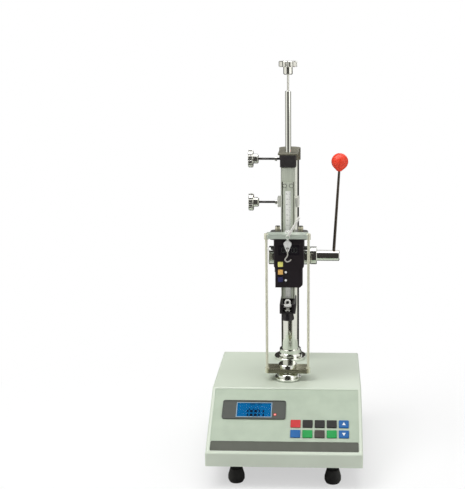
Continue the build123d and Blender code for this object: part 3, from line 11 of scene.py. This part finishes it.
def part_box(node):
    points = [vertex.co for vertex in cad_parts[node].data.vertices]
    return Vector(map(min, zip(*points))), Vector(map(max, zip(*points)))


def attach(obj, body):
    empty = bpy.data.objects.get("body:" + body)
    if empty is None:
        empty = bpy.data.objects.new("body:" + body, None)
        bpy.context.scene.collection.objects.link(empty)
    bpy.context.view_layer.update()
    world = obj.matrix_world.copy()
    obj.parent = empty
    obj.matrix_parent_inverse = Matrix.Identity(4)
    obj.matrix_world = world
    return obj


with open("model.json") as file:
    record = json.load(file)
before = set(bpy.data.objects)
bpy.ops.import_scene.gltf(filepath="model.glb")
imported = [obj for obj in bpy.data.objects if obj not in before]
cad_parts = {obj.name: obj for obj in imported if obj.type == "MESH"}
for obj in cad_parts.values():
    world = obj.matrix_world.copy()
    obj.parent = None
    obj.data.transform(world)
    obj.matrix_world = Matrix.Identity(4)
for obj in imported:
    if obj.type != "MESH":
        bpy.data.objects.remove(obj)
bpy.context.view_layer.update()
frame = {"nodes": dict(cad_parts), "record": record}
nodes = frame["nodes"]

MM = 0.001
PRINT = 0.03 * MM  # how far printed marks stand off what they are printed on
SLOPE_RUN = 124 * MM  # from front to back of the console's sloping panel
SLOPE_RISE = 73.5 * MM
FLUSH = 0.02 * MM  # faces nearer to each other than this count as one face
RAM_Y = 52.5 * MM
FORCE_Y = 12 * MM  # the line of force, through hooks and platens
HEAD_TOP = 413.5 * MM
POST_X = 22.5 * MM
POST_Y = 90 * MM


# Colours are written as they look, in 0 to 255, and turned into Blender's linear values
def look(red, green, blue):
    def linear(value):
        value /= 255
        return value / 12.92 if value <= 0.04045 else ((value + 0.055) / 1.055) ** 2.4

    return (linear(red), linear(green), linear(blue), 1.0)


def shade(colour, factor):
    return tuple(min(1.0, part * factor) for part in colour[:3]) + (1.0,)


# A material under construction, with short calls for the detail that most of them share
class Finish:
    def __init__(self, name, colour, roughness, metallic=0.0):
        self.material = bpy.data.materials.new(name)
        self.material.use_nodes = True
        self.tree = self.material.node_tree
        self.bsdf = self.tree.nodes["Principled BSDF"]
        self.colour = colour
        self.roughness = roughness
        self.bsdf.inputs["Base Color"].default_value = colour
        self.bsdf.inputs["Roughness"].default_value = roughness
        self.bsdf.inputs["Metallic"].default_value = metallic
        self.normal = None
        self.base = None
        self.coordinates = self.add("ShaderNodeTexCoord").outputs["Object"]

    def add(self, kind, **inputs):
        node = self.tree.nodes.new(kind)
        for name, value in inputs.items():
            node.inputs[name].default_value = value
        return node

    def link(self, start, end):
        self.tree.links.new(start, end)

    def noise(self, scale, detail=3.0, stretch=(1, 1, 1)):
        mapping = self.add("ShaderNodeMapping", Scale=stretch)
        self.link(self.coordinates, mapping.inputs["Vector"])
        texture = self.add("ShaderNodeTexNoise", Scale=scale, Detail=detail)
        self.link(mapping.outputs["Vector"], texture.inputs["Vector"])
        return texture.outputs["Fac"]

    def remap(self, value, low, high, start=0.3, end=0.7):
        node = self.add("ShaderNodeMapRange")
        node.inputs["From Min"].default_value = start
        node.inputs["From Max"].default_value = end
        node.inputs["To Min"].default_value = low
        node.inputs["To Max"].default_value = high
        self.link(value, node.inputs["Value"])
        return node.outputs["Result"]

    def blend(self, factor, first, second):
        node = self.add("ShaderNodeMix")
        node.data_type = "RGBA"
        self.link(factor, node.inputs["Factor"])
        for socket, value in ((node.inputs[6], first), (node.inputs[7], second)):
            if isinstance(value, tuple):
                socket.default_value = value
            else:
                self.link(value, socket)
        self.link(node.outputs[2], self.bsdf.inputs["Base Color"])
        self.base = node.outputs[2]
        return self

    def mottle(self, scale, amount, stretch=(1, 1, 1)):
        light = self.base or shade(self.colour, 1 + amount)
        grain = self.remap(self.noise(scale, detail=4.0, stretch=stretch), 0, 1)
        return self.blend(grain, shade(self.colour, 1 - amount), light)

    def uneven(self, scale, amount, stretch=(1, 1, 1)):
        grain = self.noise(scale, detail=4.0, stretch=stretch)
        value = self.remap(grain, self.roughness - amount, self.roughness + amount)
        self.link(value, self.bsdf.inputs["Roughness"])
        return self

    def bump(self, height, strength, depth):
        node = self.add("ShaderNodeBump", Strength=strength, Distance=depth)
        self.link(height, node.inputs["Height"])
        if self.normal:
            self.link(self.normal, node.inputs["Normal"])
        self.normal = node.outputs["Normal"]
        self.link(self.normal, self.bsdf.inputs["Normal"])
        return self

    def worn_edges(self, colour, amount):
        geometry = self.add("ShaderNodeNewGeometry")
        edge = self.remap(geometry.outputs["Pointiness"], 0, amount, start=0.52, end=0.62)
        return self.blend(edge, self.base or self.colour, colour)

    def coat(self, weight, roughness):
        self.bsdf.inputs["Coat Weight"].default_value = weight
        self.bsdf.inputs["Coat Roughness"].default_value = roughness
        return self


# The kinds of finish; an axis is the one that brushed lines run along or turned lines run round
def stretched(axis, along, across):
    return tuple(along if axis == name else across for name in "XYZ")


def paint(name, colour, roughness=0.42):
    finish = Finish(name, colour, roughness)
    finish.mottle(9, 0.035).uneven(35, 0.06)
    finish.bump(finish.noise(2600, 2.0), 0.10, 0.12 * MM)
    return finish.coat(0.15, 0.25).material


def brushed(name, colour, axis, roughness=0.3, lines=900, metallic=0.55):
    finish = Finish(name, colour, roughness, metallic)
    grain = stretched(axis, 0.03, 1)
    finish.mottle(lines, 0.10, grain).uneven(lines, 0.08, grain)
    finish.bump(finish.noise(lines * 2, 3.0, grain), 0.12, 0.03 * MM)
    return finish.material


def turned(name, colour, axis, roughness=0.12, lines=1500):
    finish = Finish(name, colour, roughness, 1.0)
    grain = stretched(axis, 1, 0.02)
    finish.mottle(lines / 4, 0.05, grain).uneven(lines, 0.05, grain)
    finish.bump(finish.noise(lines, 2.0, grain), 0.05, 0.02 * MM)
    return finish.material


def blackened(name, colour, roughness=0.38):
    finish = Finish(name, colour, roughness, 0.1)
    finish.mottle(60, 0.2).uneven(120, 0.08)
    finish.worn_edges(look(96, 94, 92), 0.25)
    finish.bump(finish.noise(1800, 3.0), 0.10, 0.05 * MM)
    return finish.material


def plastic(name, colour, roughness=0.45, grain=1800, depth=0.05):
    finish = Finish(name, colour, roughness)
    finish.bsdf.inputs["Specular IOR Level"].default_value = 0.25
    finish.mottle(40, 0.05).uneven(90, 0.05)
    finish.bump(finish.noise(grain, 3.0), 0.16, depth * MM)
    return finish.material


def glossy(name, colour, roughness=0.16):
    finish = Finish(name, colour, roughness)
    finish.mottle(25, 0.05).uneven(60, 0.05)
    finish.bump(finish.noise(90, 1.0), 0.02, 0.02 * MM)
    return finish.coat(0.1, 0.2).material


def rubber(name, colour):
    finish = Finish(name, colour, 0.72)
    finish.mottle(70, 0.30).uneven(50, 0.10)
    finish.bump(finish.noise(900, 4.0), 0.25, 0.10 * MM)
    return finish.material


def clear(name, colour, alpha, roughness=0.04):
    finish = Finish(name, colour, roughness)
    finish.uneven(30, 0.02)
    finish.bsdf.inputs["Alpha"].default_value = alpha
    finish.bsdf.inputs["Specular IOR Level"].default_value = 0.1
    return finish.coat(0.03, 0.03).material


def lit(name, colour, strength, grid=0.0):
    finish = Finish(name, colour, 0.5)
    finish.mottle(30, 0.04)
    finish.bsdf.inputs["Specular IOR Level"].default_value = 0.05
    finish.bsdf.inputs["Emission Color"].default_value = colour
    finish.bsdf.inputs["Emission Strength"].default_value = strength
    if grid:
        checks = finish.add("ShaderNodeTexChecker", Scale=grid)
        finish.link(finish.coordinates, checks.inputs["Vector"])
        finish.bump(checks.outputs["Fac"], 0.05, 0.02 * MM)
    return finish.material


# Circuit board with copper tracks under green lacquer
def board(name, colour):
    finish = Finish(name, colour, 0.35)
    cells = finish.add("ShaderNodeTexVoronoi", Scale=220.0)
    finish.link(finish.coordinates, cells.inputs["Vector"])
    tracks = finish.remap(cells.outputs["Distance"], 0, 1, start=0.35, end=0.40)
    finish.blend(tracks, colour, shade(colour, 1.6))
    finish.bump(tracks, 0.2, 0.05 * MM)
    return finish.coat(0.3, 0.15).material


CHROME = look(226, 228, 222)

# The finish of each material slot in the record
finishes = {
    "console_paint": paint("console_paint", look(205, 214, 198)),
    "plate_steel": paint("plate_steel", look(92, 94, 92), 0.5),
    "foot_rubber": rubber("foot_rubber", look(26, 26, 25)),
    "screw_steel": turned("screw_steel", look(204, 202, 190), "Z", 0.2),
    "overlay_film": plastic("overlay_film", look(178, 191, 172), 0.5, grain=3200, depth=0.04),
    "strip_film": plastic("strip_film", look(88, 91, 82), 0.5, grain=3200, depth=0.04),
    "bezel_plastic": plastic("bezel_plastic", look(76, 79, 74), 0.42, grain=2200),
    "window_glass": clear("window_glass", look(10, 110, 170), 0.12),
    "lcd_blue": lit("lcd_blue", look(0, 96, 152), 0.15, grid=1600.0),
    "key_red": plastic("key_red", look(196, 44, 46), 0.4),
    "key_black": plastic("key_black", look(22, 20, 18), 0.4),
    "key_blue": plastic("key_blue", look(4, 92, 158), 0.4),
    "key_green": plastic("key_green", look(4, 150, 68), 0.4),
    "key_brown": plastic("key_brown", look(60, 54, 48), 0.4),
    "board_green": board("board_green", look(28, 92, 52)),
    "cell_aluminium": brushed("cell_aluminium", look(206, 208, 210), "Y", 0.35),
    "cap_steel": turned("cap_steel", look(200, 202, 196), "Z", 0.22),
    "yoke_steel": brushed("yoke_steel", look(197, 207, 194), "X", 0.30, metallic=0.2),
    "rod_chrome": turned("rod_chrome", CHROME, "Z", 0.07),
    "black_steel": blackened("black_steel", look(30, 26, 30)),
    "ram_steel": brushed("ram_steel", look(200, 206, 190), "Z", 0.3, metallic=0.1),
    "beam_steel": brushed("beam_steel", look(206, 212, 196), "Z", 0.3, metallic=0.1),
    "ball_red": glossy("ball_red", look(246, 64, 32), 0.42),
    "knob_chrome": turned("knob_chrome", look(236, 236, 230), "Z", 0.24),
    "arm_steel": blackened("arm_steel", look(112, 110, 92), 0.45),
    "readout_plastic": plastic("readout_plastic", look(42, 36, 40), 0.42, grain=2000, depth=0.06),
    "readout_glass": glossy("readout_glass", look(34, 30, 36), 0.12),
    "button_yellow": plastic("button_yellow", look(252, 248, 138), 0.4),
    "button_orange": plastic("button_orange", look(246, 194, 112), 0.4),
    "button_blue": plastic("button_blue", look(52, 52, 96), 0.4),
    "head_steel": paint("head_steel", look(92, 92, 90), 0.36),
    "inlet_plastic": plastic("inlet_plastic", look(24, 24, 25), 0.45),
}

# Nodes whose finish differs from their slot's in colour, roughness or the direction of tool marks
special = {
    "side_rods": brushed("side_rod_steel", look(228, 228, 206), "Z", 0.22, metallic=0.35),
    "lower_crossbar": brushed("brass_grey_steel", look(176, 174, 148), "X", 0.26, metallic=0.8),
    "lever_hub": turned("hub_chrome", CHROME, "X", 0.10),
    "bearing_caps": turned("cap_chrome", look(206, 208, 204), "X", 0.14),
    "pinion_shaft": turned("pinion_steel", look(170, 172, 170), "X", 0.25),
    "upper_lock_screw": turned("lock_chrome", look(236, 236, 230), "X", 0.26),
    "lower_hook": brushed("hook_steel", look(250, 250, 242), "Z", 0.25, metallic=0.15),
    "upper_hook": brushed("wire_steel", look(206, 204, 196), "Z", 0.25, metallic=0.3),
    "shackle": brushed("shackle_steel", look(255, 254, 250), "Z", 0.25, metallic=0.1),
    "latch_lever": brushed("latch_steel", look(246, 244, 238), "Z", 0.25, metallic=0.15),
    "stop_collar": brushed("collar_steel", look(230, 231, 222), "Z", 0.3, metallic=0.3),
    "lever_rod": turned("lever_steel", look(96, 88, 80), "Z", 0.2),
    "load_cap": turned("cap_chrome_bright", CHROME, "Z", 0.08),
}
special["lower_lock_screw"] = special["upper_lock_screw"]

# Inks, and the small lamp's two finishes
ink = lit("ink", look(38, 40, 38), 0.0)
white_ink = lit("white_ink", look(236, 238, 232), 0.0)
lcd_ink = lit("lcd_ink", look(0, 18, 40), 0.0)
frame_ink = lit("frame_ink", look(150, 176, 190), 0.0)
lamp_lens = lit("lamp_lens", look(255, 150, 140), 0.8)
lamp_glow = lit("lamp_glow", look(170, 60, 56), 0.15)


# Gives every CAD node its finish
slots = {entry["node"]: entry["material_slot"] for entry in frame["record"]["subparts"]}
for name, obj in nodes.items():
    finish = special.get(name, finishes[slots[name]])
    if obj.material_slots:
        for place in obj.material_slots:
            place.material = finish
    else:
        obj.data.materials.append(finish)


# A new piece of the visual model, which rides on a body of the frame
def piece(name, mesh, material, body):
    mesh.materials.append(material)
    obj = bpy.data.objects.new(name, mesh)
    bpy.context.scene.collection.objects.link(obj)
    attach(obj, body)
    return obj


# Flat printed marks: closed outlines in a plane's own coordinates, as thin slabs
def printed(name, plane, outlines, material, body, thickness=PRINT):
    bm = bmesh.new()
    for outline in outlines:
        low = [bm.verts.new(plane @ Vector((x, y, PRINT / 2))) for x, y in outline]
        high = [bm.verts.new(plane @ Vector((x, y, PRINT / 2 + thickness))) for x, y in outline]
        bm.faces.new(high)
        bm.faces.new(list(reversed(low)))
        for index in range(len(outline)):
            following = (index + 1) % len(outline)
            bm.faces.new((low[index], low[following], high[following], high[index]))
    mesh = bpy.data.meshes.new(name)
    bmesh.ops.recalc_face_normals(bm, faces=bm.faces)
    bm.to_mesh(mesh)
    bm.free()
    return piece(name, mesh, material, body)


def bar(x, y, width, height):
    return [(x - width / 2, y - height / 2), (x + width / 2, y - height / 2),
            (x + width / 2, y + height / 2), (x - width / 2, y + height / 2)]


def border(x, y, width, height, line):
    return [bar(x, y + height / 2, width + line, line), bar(x, y - height / 2, width + line, line),
            bar(x - width / 2, y, line, height - line), bar(x + width / 2, y, line, height - line)]


# Which of its seven bars each digit lights; a is the top one, g the middle one
SEGMENTS = {"0": "abcdef", "1": "bc", "2": "abged", "3": "abgcd", "4": "fgbc",
            "5": "afgcd", "6": "afgedc", "7": "abc", "8": "abcdefg", "9": "abcdfg"}


def digits(text, x, y, width, height, line):
    outlines = []
    step = width * 1.45
    half = height / 2
    across = width - 1.3 * line
    upright = half - 1.3 * line
    for place, mark in enumerate(text):
        centre = x + (place - (len(text) - 1) / 2) * step
        left = centre - width / 2
        right = centre + width / 2
        bars = {
            "a": bar(centre, y + half, across, line),
            "b": bar(right, y + half / 2, line, upright),
            "c": bar(right, y - half / 2, line, upright),
            "d": bar(centre, y - half, across, line),
            "e": bar(left, y - half / 2, line, upright),
            "f": bar(left, y + half / 2, line, upright),
            "g": bar(centre, y, across, line),
        }
        if mark == ".":
            outlines.append(bar(centre, y - half, line * 1.3, line * 1.3))
        outlines += [bars[segment] for segment in SEGMENTS.get(mark, "")]
    return outlines


# The plane of a node's outermost face in a direction, with the origin in the face's middle
def face_plane(node, outward, across=Vector((1, 0, 0))):
    outward = outward.normalized()
    mesh = nodes[node].data
    faces = [polygon for polygon in mesh.polygons if polygon.normal.dot(outward) > 0.999]
    reach = max(polygon.center.dot(outward) for polygon in faces)
    outermost = [polygon for polygon in faces if polygon.center.dot(outward) > reach - FLUSH]
    corners = [mesh.vertices[index].co for polygon in outermost for index in polygon.vertices]
    up = outward.cross(across)
    middle = Vector((0, 0, 0))
    sizes = []
    for axis in (across, up, outward):
        values = [corner.dot(axis) for corner in corners]
        middle += axis * (min(values) + max(values)) / 2
        sizes.append(max(values) - min(values))
    matrix = Matrix((across, up, outward)).transposed().to_4x4()
    matrix.translation = middle
    return matrix, sizes[0], sizes[1]


panel_normal = Vector((0, -SLOPE_RISE, SLOPE_RUN)).normalized()
front = Vector((0, -1, 0))

# Display: a pale frame round the lit field, with a row of digits and a smaller row
lcd_plane, lcd_width, lcd_height = face_plane("lcd_window", panel_normal)
lcd_border = border(0, 0, width=lcd_width - 1.6 * MM, height=lcd_height - 1.6 * MM, line=1.4 * MM)
printed("lcd_frame", lcd_plane, lcd_border, frame_ink, "stand")
large_digits = digits("0001", x=3 * MM, y=-7.4 * MM, width=5.4 * MM, height=17 * MM, line=2.5 * MM)
printed("lcd_digits", lcd_plane, large_digits, lcd_ink, "stand")
small_digits = digits("00 00", x=3 * MM, y=13 * MM, width=3.0 * MM, height=4.6 * MM, line=1.2 * MM)
printed("lcd_small_digits", lcd_plane, small_digits, lcd_ink, "stand")

# Arrows on the two blue keys at the right
for node, sign in (("key_top_5", 1), ("key_low_5", -1)):
    plane = face_plane(node, panel_normal)[0]
    arrow = [(0, sign * 4 * MM), (-3.2 * MM, -sign * 2.4 * MM), (3.2 * MM, -sign * 2.4 * MM)]
    printed(node + "_arrow", plane, [arrow], white_ink, node)

# Readout: its digits
readout_plane = face_plane("readout_window", front)[0]
readout_ink = Finish("readout_ink", look(74, 80, 74), 0.4).mottle(60, 0.05).material
readout_digits = digits("00.00", x=1 * MM, y=0, width=4.2 * MM, height=9 * MM, line=0.8 * MM)
printed("readout_digits", readout_plane, readout_digits, readout_ink, "stand")


# A plane that faces the front
def upright_plane(y, x=0.0, z=0.0):
    return Matrix(((1, 0, 0, x), (0, 0, -1, y), (0, 1, 0, z), (0, 0, 0, 1)))


# Every tenth line of the scale is long, and every fifth one is of middle length
def mark_length(step):
    if step % 10 == 0:
        return 5.0 * MM
    if step % 5 == 0:
        return 3.6 * MM
    return 2.4 * MM


# Scale beam: a strip in the sunk track, with a line every millimetre and numbers every ten
beam_low, beam_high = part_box("scale_beam")
track_lift = 2.9 * MM  # how far the track's floor stands out from the ram's front
track_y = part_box("ram_bar")[0][1] - track_lift
strip_low = beam_low[2] + 1 * MM
strip_high = beam_high[2] - 17 * MM
strip_width = 10.1 * MM
strip_plane = upright_plane(track_y)
strip = bar(0, (strip_low + strip_high) / 2, strip_width, strip_high - strip_low)
strip_metal = brushed("strip_metal", look(250, 252, 242), "Z", 0.4, metallic=0.0)
strip_thickness = 0.2 * MM
printed("scale_strip", strip_plane, [strip], strip_metal, "ram", strip_thickness)
marks = []
numbers = []
margin = 2  # millimetres without a line at each end of the strip
marks_right = 5.0 * MM
for step in range(int((strip_high - strip_low) / MM) - 2 * margin + 1):
    length = mark_length(step)
    z = strip_low + (step + margin) * MM
    marks.append(bar(marks_right - length / 2, z, width=length, height=0.2 * MM))
    if step % 10 == 0:
        text = str(step // 10)
        numbers += digits(text, -2.4 * MM, z + 0.3 * MM, width=1.1 * MM, height=2.2 * MM, line=0.3 * MM)
mark_plane = upright_plane(track_y - strip_thickness - PRINT / 2)
printed("scale_marks", mark_plane, marks, ink, "ram")
printed("scale_numbers", mark_plane, numbers, ink, "ram")

# Painted shade: dark lines along both edges of the ram's front, beside the scale beam, standing in for
# the shade at the ram's edges
ram_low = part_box("ram_bar")[0]
edge_shade_top = beam_high[2] + 1 * MM
edge_shade_height = edge_shade_top - ram_low[2] - 2 * MM
for side, x, width, colour in (
    ("left", -10.5 * MM, 1.7 * MM, look(44, 42, 34)),
    ("right", 10.0 * MM, 1.2 * MM, look(92, 90, 80)),
):
    painted_edge_shade = bar(x, (ram_low[2] + edge_shade_top) / 2, width, edge_shade_height)
    # each line is painted shade, printed flat on the ram's front
    shadow = lit("groove_" + side, colour, 0.0)
    printed("ram_painted_edge_shade_" + side, upright_plane(ram_low[1]), [painted_edge_shade], shadow, "ram")


def circle_points(radius, height, sides):
    if radius == 0:
        return [Vector((0, 0, height))]
    angles = [2 * pi * n / sides for n in range(sides)]
    return [Vector((radius * cos(angle), radius * sin(angle), height)) for angle in angles]


# Round things turned about a line, from a profile of (radius, height) pairs
def lathe(name, plane, profile, material, body, sides=48):
    bm = bmesh.new()
    rings = []
    for radius, height in profile:
        rings.append([bm.verts.new(plane @ point) for point in circle_points(radius, height, sides)])
    for first, second in zip(rings, rings[1:]):
        for n in range(sides):
            m = (n + 1) % sides
            edge = [first[n % len(first)], first[m % len(first)]]
            next_edge = [second[m % len(second)], second[n % len(second)]]
            corners = list(dict.fromkeys(edge + next_edge))
            bm.faces.new(corners).smooth = True
    mesh = bpy.data.meshes.new(name)
    bmesh.ops.recalc_face_normals(bm, faces=bm.faces)
    bm.to_mesh(mesh)
    bm.free()
    return piece(name, mesh, material, body)


# A low dome on a short straight side, as high as the lift
def dome_profile(radius, height, lift):
    steps = 6
    profile = [(radius, 0), (radius, lift)]
    for step in range(1, steps + 1):
        angle = pi / 2 * step / steps
        profile.append((radius * cos(angle) if step < steps else 0, lift + height * sin(angle)))
    return profile


# A ring with a square section, from its two radii and its two heights
def ring_profile(inner, outer, low, high):
    return [(inner, low), (outer, low), (outer, high), (inner, high), (inner, low)]


# Screw heads on the readout and on the scale beam, matt and near white as a painted highlight; round
# the beam's screws a dark ring of painted shadow
readout_screw_x = -3.8 * MM
readout_screw_heights = (348.1 * MM, 332.4 * MM)
beam_screw_x = 6.1 * MM
beam_screw_height = 511 * MM
beam_screw_sunk = 1.7 * MM
# the screw heads' near-white matt colour is a painted highlight
bright = brushed("screw_painted_highlight", look(255, 255, 252), "X", 0.3, metallic=0.0)
# painted shadow: the dark ring round each screw on the scale beam
screw_shadow = lit("screw_shadow", look(52, 50, 42), 0.0)
readout_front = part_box("readout_body")[0][1]
for number, z in enumerate(readout_screw_heights):
    centre = upright_plane(readout_front, readout_screw_x, z)
    dome = dome_profile(radius=2.2 * MM, height=0.5 * MM, lift=0.9 * MM)
    lathe("readout_screw_%d" % number, centre, dome, bright, "stand")
for number, x in enumerate((-beam_screw_x, beam_screw_x)):
    centre = upright_plane(beam_low[1] + beam_screw_sunk, x, beam_screw_height)
    dome = dome_profile(radius=3.05 * MM, height=0.9 * MM, lift=0.8 * MM)
    lathe("beam_screw_%d" % number, centre, dome, bright, "ram")
    ring = ring_profile(inner=3.1 * MM, outer=3.9 * MM, low=0.05 * MM, high=0.15 * MM)
    lathe("beam_screw_ring_%d" % number, centre, ring, screw_shadow, "ram")


# A plane whose outward direction is X, for round things on a crosswise axis
def crosswise_plane(y, z):
    return Matrix(((0, 0, 1, 0), (1, 0, 0, y), (0, 1, 0, z), (0, 0, 0, 1)))


# Blacked shafts of the two lock screws, from the hub to each screw's inner end
shaft_black = blackened("shaft_black", look(26, 24, 22), 0.4)
shaft_radius = 2.02 * MM
black_radius = 2.12 * MM
outer_end = -55.9 * MM
for node, body, inner_end in (
    ("upper_lock_screw", "upper_lock", -15.5 * MM),
    ("lower_lock_screw", "lower_lock", -21.0 * MM),
):
    screw_low, screw_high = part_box(node)
    axis = crosswise_plane(RAM_Y, (screw_low[2] + screw_high[2]) / 2)
    sleeve = [
        (shaft_radius, outer_end),
        (black_radius, outer_end),
        (black_radius, inner_end),
        (shaft_radius, inner_end),
    ]
    lathe(node + "_black", axis, sleeve, shaft_black, body, 24)

# Pale sleeves on the head's two posts
post_cream = brushed("post_cream", look(226, 222, 196), "Z", 0.3, metallic=0.2)
post_sleeve = [(4.7 * MM, 0.1 * MM), (4.95 * MM, 0.1 * MM), (4.95 * MM, 8.2 * MM), (4.7 * MM, 8.4 * MM)]
for number, x in enumerate((-POST_X, POST_X)):
    foot = Matrix.Translation((x, POST_Y, HEAD_TOP))
    lathe("post_sleeve_%d" % number, foot, post_sleeve, post_cream, "stand", 32)

# Bright plating over the disc and domed nut on the upper platen's stem
nut_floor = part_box("upper_platen")[1][2] - 6.8 * MM
nut = [
    (8.2 * MM, 0.1 * MM),
    (8.38 * MM, 0.1 * MM),
    (8.38 * MM, 2.8 * MM),
    (8.1 * MM, 3.08 * MM),
    (5.6 * MM, 3.08 * MM),
    (3.08 * MM, 6.88 * MM),
    (0, 6.88 * MM),
]
nut_place = Matrix.Translation((0, FORCE_Y, nut_floor))
lathe("platen_nut", nut_place, nut, finishes["rod_chrome"], "ram")

# Small lamp beside the display, with a red surround
lamp_offset = Matrix.Translation((39 * MM, -11 * MM, -0.8 * MM))
lamp_at = face_plane("display_bezel", panel_normal)[0] @ lamp_offset
surround = [
    (0, 0.05 * MM),
    (2.6 * MM, 0.05 * MM),
    (2.8 * MM, 0.2 * MM),
    (2.6 * MM, 0.3 * MM),
    (1.7 * MM, 0.3 * MM),
    (1.7 * MM, 0.1 * MM),
    (0, 0.1 * MM),
]
lathe("lamp_surround", lamp_at, surround, lamp_glow, "stand")
lens = dome_profile(radius=1.6 * MM, height=0.8 * MM, lift=0.3 * MM)
lathe("lamp_lens", lamp_at, lens, lamp_lens, "stand")

# Floor, light and camera
floor_mesh = bpy.data.meshes.new("floor")
floor_half = 6.0
floor_mesh.from_pydata([(-floor_half, -floor_half, 0), (floor_half, -floor_half, 0),
                        (floor_half, floor_half, 0), (-floor_half, floor_half, 0)], [], [(0, 1, 2, 3)])
floor = bpy.data.objects.new("floor", floor_mesh)
bpy.context.scene.collection.objects.link(floor)
floor_finish = bpy.data.materials.new("floor")
floor_finish.use_nodes = True
tree = floor_finish.node_tree
matt = tree.nodes["Principled BSDF"]
matt.inputs["Base Color"].default_value = (0.86, 0.86, 0.86, 1)
matt.inputs["Roughness"].default_value = 0.9
matt.inputs["Specular IOR Level"].default_value = 0.1


# The studio as polished metal sees it: pale screens at the sides, dark in front and far behind
def screens(tree, direction):
    parts = tree.nodes.new("ShaderNodeSeparateXYZ")
    level = tree.nodes.new("ShaderNodeCombineXYZ")
    unit = tree.nodes.new("ShaderNodeVectorMath")
    unit.operation = "NORMALIZE"
    ahead = tree.nodes.new("ShaderNodeVectorMath")
    ahead.operation = "DOT_PRODUCT"
    ahead.inputs[1].default_value = (0, -0.5, 0)
    shifted = tree.nodes.new("ShaderNodeMath")
    shifted.operation = "ADD"
    shifted.inputs[1].default_value = 0.5
    ramp = tree.nodes.new("ShaderNodeValToRGB")
    dark = (0.045, 0.042, 0.038, 1)
    pale = (0.92, 0.91, 0.86, 1)
    stops = ramp.color_ramp.elements
    for stop, position, colour in ((stops[0], 0.26, dark), (stops[1], 0.37, pale)):
        stop.position = position
        stop.color = colour
    for position, colour in ((0.89, pale), (0.95, dark)):
        stop = stops.new(position)
        stop.color = colour
    tree.links.new(direction, parts.inputs[0])
    tree.links.new(parts.outputs["X"], level.inputs["X"])
    tree.links.new(parts.outputs["Y"], level.inputs["Y"])
    tree.links.new(level.outputs[0], unit.inputs[0])
    tree.links.new(unit.outputs[0], ahead.inputs[0])
    tree.links.new(ahead.outputs["Value"], shifted.inputs[0])
    tree.links.new(shifted.outputs[0], ramp.inputs["Fac"])
    return ramp.outputs["Color"]


def ranged(tree, value, low, high, start, end):
    node = tree.nodes.new("ShaderNodeMapRange")
    node.inputs["From Min"].default_value = low
    node.inputs["From Max"].default_value = high
    node.inputs["To Min"].default_value = start
    node.inputs["To Max"].default_value = end
    tree.links.new(value, node.inputs["Value"])
    return node.outputs["Result"]


def mixed_shader(tree, factor, first, second):
    node = tree.nodes.new("ShaderNodeMixShader")
    tree.links.new(factor, node.inputs[0])
    tree.links.new(first, node.inputs[1])
    tree.links.new(second, node.inputs[2])
    return node.outputs[0]


# The floor as the camera sees it turns white away from the object, and mirror rays see the screens
glow = tree.nodes.new("ShaderNodeEmission")
glow.inputs["Color"].default_value = (1, 1, 1, 1)
mirror_glow = tree.nodes.new("ShaderNodeEmission")
ray = tree.nodes.new("ShaderNodeLightPath")
place = tree.nodes.new("ShaderNodeNewGeometry")
tree.links.new(screens(tree, place.outputs["Position"]), mirror_glow.inputs["Color"])
radius = tree.nodes.new("ShaderNodeVectorMath")
radius.operation = "LENGTH"
tree.links.new(place.outputs["Position"], radius.inputs[0])
far = ranged(tree, radius.outputs["Value"], low=0.28, high=0.75, start=0.55, end=1.0)
seen_floor = mixed_shader(tree, far, matt.outputs[0], glow.outputs[0])
other = mixed_shader(tree, ray.outputs["Is Glossy Ray"], matt.outputs[0], mirror_glow.outputs[0])
surface = mixed_shader(tree, ray.outputs["Is Camera Ray"], other, seen_floor)
tree.links.new(surface, tree.nodes["Material Output"].inputs["Surface"])
floor_mesh.materials.append(floor_finish)

# The world is white to the camera, shows the screens to mirror rays and lights all else evenly
world = bpy.data.worlds.new("studio")
bpy.context.scene.world = world
world.use_nodes = True
sky = world.node_tree
plain = sky.nodes["Background"]
plain.inputs["Color"].default_value = (1, 1, 1, 1)
plain.inputs["Strength"].default_value = 0.45
white = sky.nodes.new("ShaderNodeBackground")
white.inputs["Color"].default_value = (1, 1, 1, 1)
white.inputs["Strength"].default_value = 1.0
mirrored = sky.nodes.new("ShaderNodeBackground")
toward = sky.nodes.new("ShaderNodeTexCoord")
sky.links.new(screens(sky, toward.outputs["Generated"]), mirrored.inputs["Color"])
sky_ray = sky.nodes.new("ShaderNodeLightPath")
not_seen = mixed_shader(sky, sky_ray.outputs["Is Glossy Ray"], plain.outputs[0], mirrored.outputs[0])
whole = mixed_shader(sky, sky_ray.outputs["Is Camera Ray"], not_seen, white.outputs[0])
sky.links.new(whole, sky.nodes["World Output"].inputs["Surface"])


def lamp(name, place, aim, size, power):
    data = bpy.data.lights.new(name, "AREA")
    data.shape = "RECTANGLE"
    data.size, data.size_y = size
    data.energy = power
    obj = bpy.data.objects.new(name, data)
    bpy.context.scene.collection.objects.link(obj)
    obj.location = place
    obj.rotation_euler = (Vector(aim) - Vector(place)).to_track_quat("-Z", "Y").to_euler()


middle = (0, 0, 0.35)
lamp("key", (-1.2, -0.35, 2.3), aim=middle, size=(1.2, 1.2), power=26)
lamp("fill", (1.7, -1.2, 1.2), aim=middle, size=(1.0, 1.6), power=5)
lamp("top", (0.1, 0.2, 2.3), aim=middle, size=(1.6, 1.6), power=20)
lamp("back", (0.6, 1.6, 1.2), aim=middle, size=(1.2, 1.2), power=6)

camera_data = bpy.data.cameras.new("camera")
camera_data.lens = 70.32
camera_data.sensor_width = 36
camera_data.shift_x = -0.1355
camera = bpy.data.objects.new("camera", camera_data)
bpy.context.scene.collection.objects.link(camera)
camera.location = (0.0737, -1.7346, 0.7894)
camera.rotation_euler = (radians(90 - 12.442), 0, radians(1.728))
bpy.context.scene.camera = camera
bpy.context.scene.view_settings.view_transform = "Standard"
